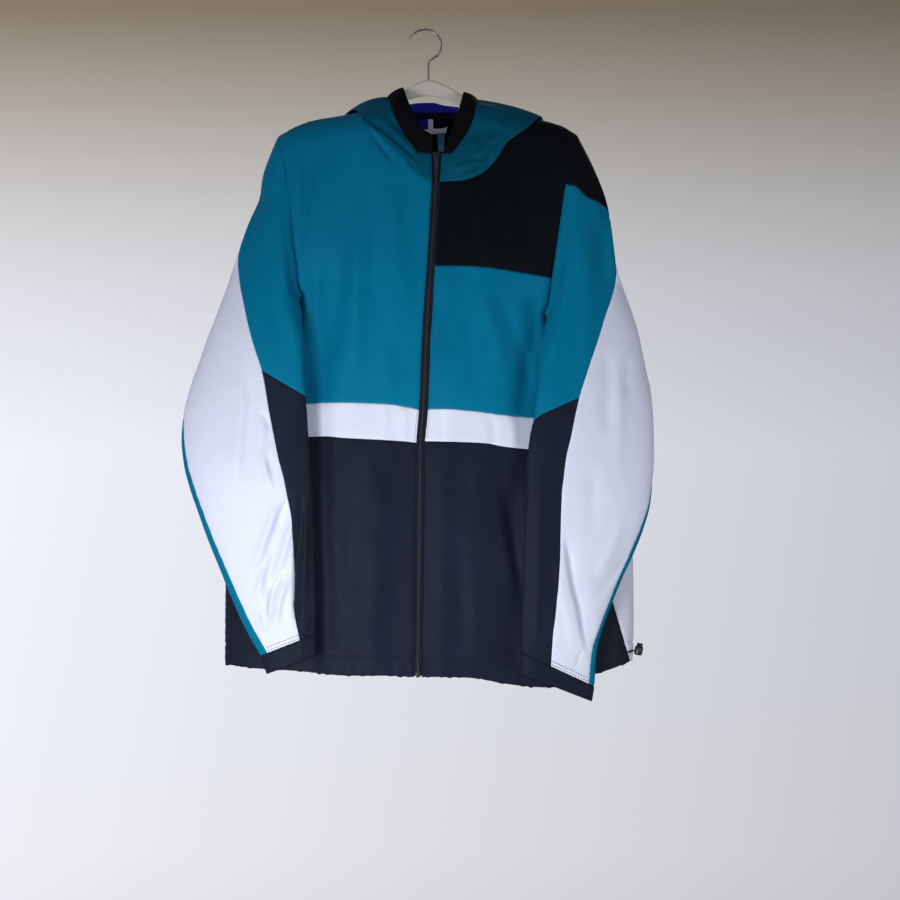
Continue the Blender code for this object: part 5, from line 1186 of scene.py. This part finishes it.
def make_zip():
    z = np.linspace(COLLAR_TOP, TAPE_END, TAPE_POINTS[0])[:, None]
    across = np.linspace(0.0, 1.0, TAPE_POINTS[1])[None]
    for name, side in (("zip_tape_right", -1), ("zip_tape_left", 1)):
        x = ZIP_LINE(z) + side * lerp(0.3, ZIP_HALF + 0.6, across)
        rows = z + 0.0 * x
        cloth(name, stack(x, zip_y(x, rows) - (0.5 - 0.9 * across ** 3), rows), "tape", seams=(),
              thick=TAPE_CLOTH)
    vertices = []
    faces = []
    levels = np.arange(SLIDER_Z - 6.0, TEETH_END, -TOOTH_PITCH)
    middle = ZIP_LINE(levels)
    for number, (x, y, z) in enumerate(zip(middle, zip_y(middle, levels), levels)):
        side = 1.0 if number % 2 else -1.0
        first = len(vertices)
        for near, lift in TOOTH:
            for up in (-TOOTH_HALF, TOOTH_HALF):
                up *= 0.8 if near > 1 else 1.0
                vertices.append((x + side * near, y - TOOTH_FOOT - lift, z + up))
        corners = [(n, n + 1, n + 3, n + 2) for n in (0, 2, 4)]
        corners += [(0, 2, 4, 6), (1, 7, 5, 3), (0, 6, 7, 1)]
        faces += [tuple(first + n for n in face) for face in corners]
    teeth = add_mesh("zip_teeth", vertices, faces, "teeth", replaced=("zip_chain",))
    teeth.data.polygons.foreach_set("use_smooth", [False] * len(teeth.data.polygons))


def rounded(item, width, segments=3):
    bevel = item.modifiers.new("edges", "BEVEL")
    bevel.width = width * MM
    bevel.segments = segments
    bevel.limit_method = "ANGLE"
    bevel.angle_limit = math.radians(40)


def extrude(name, outline, y0, y1, look, holes=(), **more):
    """A flat shape of (x, z) points, from y0 to y1. The outline is convex where it has a hole."""
    count = len(outline)
    vertices = [(x, y, z) for y in (y0, y1) for x, z in outline]
    faces = [(i, (i + 1) % count, (i + 1) % count + count, i + count) for i in range(count)]
    if holes:
        vertices += [(x, y, z) for y in (y0, y1) for x, z in holes]
        start = 2 * count
        for i in range(count):
            j = (i + 1) % count
            faces.append((j, i, start + i, start + j))
            faces.append((i + count, j + count, start + count + j, start + count + i))
            faces.append((start + j, start + i, start + count + i, start + count + j))
    else:
        faces += caps(0, count, count)
    return add_mesh(name, vertices, faces, look, **more)


def oval(x, z, half_x, half_z, power, count=32):
    """A rounded outline: power 2 is an ellipse, more is squarer."""
    turns = np.arange(count) * 2.0 * PI / count
    cos, sin = np.cos(turns), np.sin(turns)
    return [(x + half_x * math.copysign(abs(c) ** (2.0 / power), c),
             z + half_z * math.copysign(abs(s) ** (2.0 / power), s)) for c, s in zip(cos, sin)]


def make_slider():
    """Slider, bridge and pull tab. Each is an oval plate, of a half width, a half height and a
    squareness, between two distances before the tapes."""
    z = SLIDER_Z
    x = float(ZIP_LINE(z))
    y = at_place(zip_y, x, z)
    body = extrude("slider", oval(x, z, 3.8, 5.5, 3.2), y - 5.2, y - 2.0, "metal", replaced=("zip_slider",))
    rounded(body, 0.7)
    bridge = extrude("slider_bridge", oval(x, z - 0.3, 1.3, 4.2, 2.6), y - 6.0, y - 5.1, "metal")
    rounded(bridge, 0.4)
    tab = extrude("pull_tab", oval(x, z - 12.0, 2.5, 12.0, 5.0), y - 8.0, y - 6.25, "metal",
                  oval(x, z - 15.5, 1.25, 4.2, 2.4), body="pull", replaced=("zip_pull",))
    rounded(tab, 0.35, 2)


def make_stop():
    x = float(ZIP_LINE(STOP_Z))
    y = at_place(body_y, x, STOP_Z, "front")
    stop = extrude("stop_box", oval(x, STOP_Z + 3.0, 3.0, 4.0, 4.5), y - 3.5, y - 0.9, "plastic",
                   replaced=("zip_stop",))
    rounded(stop, 0.5)


def neck_sheet(name, look, top, low, depths, rows=24, height=0.4, alone=True):
    """Cloth that lies before the back, from its top line to its low line."""
    shares = np.linspace(0.0, 1.0, NECK_POINTS)
    pitch, sway, slow = NECK_BEAT
    part = np.linspace(0.0, 1.0, rows)[:, None]
    high, deep = along(top, shares), along(low, shares)
    x = lerp(high[None, :, 0], deep[None, :, 0], part)
    z = lerp(high[None, :, 1], deep[None, :, 1], part)
    y = body_y(x, np.minimum(z, NECK_LEVEL), "back") - lerp(*depths, part)
    y = y + height * np.sin(x * pitch + sway * np.sin(z * slow))
    cloth(name, stack(x, y, z), look, seams=(), thick=THIN_CLOTH, alone=alone)


def make_neck():
    """Lining, tape, black sheets of painted shade and label inside the back neck."""
    neck_sheet("neck_lining", "blue", ((-26, -93), (-9, -90), (9, -89.5), (24, -93), (42, -95)),
               ((-26, NECK_END), (42, NECK_END)), (5.0, 2.4), rows=NECK_POINTS, alone=False)
    neck_sheet("neck_tape", "tape", ((-24, -102), (40, -102)), ((-24, -110), (40, -110)), (6.6, 6.6),
               height=0.15, alone=False)
    # Black sheets of painted shade below the tape, where the inside of the back lies in shade.
    for name, x0, x1, z0, z1, depth in PAINTED_SHADE_SHEETS:
        neck_sheet("neck_painted_shade_" + name, "black", ((x0, z0), (x1, z1)),
                   ((x0, NECK_END), (x1, NECK_END)), (depth, 4.0))
    y = at_place(body_y, 9.0, -116.0, "back") - LABEL_DEPTH
    label = extrude("label_loop", LABEL, y - 1.0, y - 0.2, "white", replaced=("neck_label",))
    rounded(label, 0.35, 2)


def make_strip(hood):
    """The turned facing that shows beside the top of the zip, in a darker copy of the teal cloth that paints
    the shade inside the neck.
    """
    down = np.linspace(0.0, 1.0, 24)[:, None]
    part = np.linspace(0.0, 1.0, 10)[None]
    x = lerp(lerp(*STRIP_RIGHT, down), lerp(*STRIP_LEFT, down), part)
    z = lerp(*STRIP_Z, down) + 0.0 * part
    edge = hood.band(np.array([0.25]), np.array([0.6]))[0]
    y = edge[1] - 2.0 + 0.4 * np.maximum(z - edge[2], 0.0) + 0.5 * np.sin(x * 0.9)
    cloth("facing_strip", stack(x, y, z), "dull_teal", seams=(), thick=THIN_CLOTH, alone=True)


def tube(name, points, radius, look, replaced, sides=20):
    """A closed round tube along a line of points."""
    turns = np.arange(sides)[:, None] * 2.0 * PI / sides
    ahead = unit(np.gradient(points, axis=0))
    across = np.array(Vector(ahead[0]).orthogonal())
    rings = []
    for point, way in zip(points, ahead):
        across = unit(across - way * across.dot(way))
        rings.append(point + (across * np.cos(turns) + np.cross(way, across) * np.sin(turns)) * radius)
    rounded(add_rings(name, np.array(rings), look, replaced), radius * 0.25, 2)


def make_hanger():
    turns = np.radians(np.arange(*HOOK_TURN))
    bend = stack(HOOK_RADIUS * np.cos(turns), 0.0 * turns,
                 HOOK_RADIUS * np.sin(turns) - (HOOK_RADIUS - HOOK_WIRE / 2.0))
    line = along(np.concatenate([bend, HOOK_NECK]), np.linspace(0.0, 1.0, 120))
    tube("hook_wire", line, HOOK_WIRE / 2.0, "wire", ("hanger_hook",))
    x = np.arange(*HANGER_SPAN)[:, None]
    under = (x < RIGHT_NECK) | (x > LEFT_NECK)
    top = np.where(under, SHOULDER_LINE(x) - HANGER_DROP, curves(*HANGER_TOP)["z"](x))
    across, up = np.array(HANGER_PROFILE).T
    z = lerp(top - curves(*HANGER_HEIGHT)["height"](x), top, up)
    add_rings("hanger_arms", stack(x + 0.0 * z, across * HANGER_HALF + 0.0 * z, z), "ivory", ("hanger_body",))


def make_cord_lock():
    """The hem cord's end and its lock: a barrel with a button and the hole for the cord."""
    line = along(CORD, np.linspace(0.0, 1.0, 14))
    tube("cord_end", line, CORD_RADIUS, "tape", ("hem_cord",), sides=14)
    tilt = math.radians(LOCK_TILT)
    axis = np.array([math.sin(tilt), 0.0, math.cos(tilt)])
    first = np.array([math.cos(tilt), 0.0, -math.sin(tilt)])
    turns = (np.arange(28) * 2.0 * PI / 28)[:, None]
    round_way = first * np.cos(turns) + np.array([0.0, 1.0, 0.0]) * np.sin(turns)
    rings = np.array([np.array(LOCK_MIDDLE) + axis * up + round_way * radius for up, radius in LOCK_PROFILE])
    add_rings("lock_barrel", rings, "plastic", ("cord_lock",), closed=False)


# ---- room, light and camera
def make_world():
    """Pale surroundings, dimmer above, as in a room that is lit through a low window."""
    world = bpy.data.worlds.new("pale")
    bpy.context.scene.world = world
    world.use_nodes = True
    tree = world.node_tree
    ground = tree.nodes["Background"]
    split = node(tree, "ShaderNodeSeparateXYZ")
    tree.links.new(node(tree, "ShaderNodeTexCoord").outputs["Generated"], split.inputs["Vector"])
    tone = node(tree, "ShaderNodeValToRGB")
    ramp = tone.color_ramp
    for stop, (_, colour) in zip(ramp.elements, (WALL_TONES[0], WALL_TONES[-1])):
        stop.color = (*colour, 1.0)
    for place, colour in WALL_TONES[1:-1]:
        ramp.elements.new(place).color = (*colour, 1.0)
    for axis, reach, ends, target in (("Z", WORLD_RUN, (0.0, 1.0), tone.inputs["Fac"]),
                                      ("X", WORLD_SIDE, SIDE_STRENGTH, ground.inputs["Strength"])):
        part = node(tree, "ShaderNodeMapRange", From_Min=-reach, From_Max=reach, To_Min=ends[0],
                    To_Max=ends[1])
        tree.links.new(split.outputs[axis], part.inputs["Value"])
        tree.links.new(part.outputs["Result"], target)
    tree.links.new(tone.outputs["Color"], ground.inputs["Color"])


def add_item(name, data, place):
    item = bpy.data.objects.new(name, data)
    item.location = place
    bpy.context.scene.collection.objects.link(item)
    return item


def make_room():
    radius, height, colour, roughness = FLOOR
    make_world()
    bpy.context.scene.view_settings.view_transform = "Standard"
    bpy.ops.mesh.primitive_circle_add(vertices=96, radius=radius, fill_type="NGON",
                                      location=(0, 0, height))
    floor = bpy.context.object
    floor.name = "floor"
    look = bpy.data.materials.new("floor")
    look.use_nodes = True
    tune(look.node_tree.nodes["Principled BSDF"], Base_Color=colour, Roughness=roughness)
    floor.data.materials.append(look)
    for name, place, size, power, angle in LIGHTS:
        lamp = bpy.data.lights.new(name, "AREA")
        lamp.shape = "DISK"
        lamp.size = size
        lamp.energy = power
        lamp.spread = math.radians(angle)
        aim = Vector(AIM) - Vector(place)
        add_item(name, lamp, place).rotation_euler = aim.to_track_quat("-Z", "Y").to_euler()


def make_camera():
    camera = bpy.data.cameras.new("camera")
    camera.sensor_width = SENSOR
    camera.lens = SENSOR * DISTANCE / (FRAME * PIXEL * MM)
    camera.clip_start = 0.05
    camera.clip_end = 30.0
    x, y, z = VIEW
    item = add_item("camera", camera, (x * MM, y * MM - DISTANCE, z * MM))
    item.rotation_euler = (math.radians(90), 0.0, 0.0)
    bpy.context.scene.camera = item


def main():
    make_camera()
    make_room()
    sleeves = (Sleeve(RIGHT_SLEEVE, RIGHT, RIGHT_ARM_CREASES, RIGHT_LAP, RIGHT_PINCH),
               Sleeve(LEFT_SLEEVE, LEFT, LEFT_ARM_CREASES, LEFT_LAP, LEFT_PINCH))
    hoods = (Hood(HOOD_RIGHT), Hood(HOOD_LEFT))
    make_fronts(*sleeves)
    make_back(*sleeves)
    for make, halves in ((make_sleeve, sleeves), (make_hood, hoods)):
        for side, half in zip(("right", "left"), halves):
            make(side, half)
    make_hood_back(*hoods)
    make_zip()
    make_neck()
    make_strip(hoods[1])
    make_slider()
    make_stop()
    make_hanger()
    make_cord_lock()
    for look, (vertices, faces) in STITCHES.items():
        add_mesh("stitches_" + look, vertices, faces, look)


main()
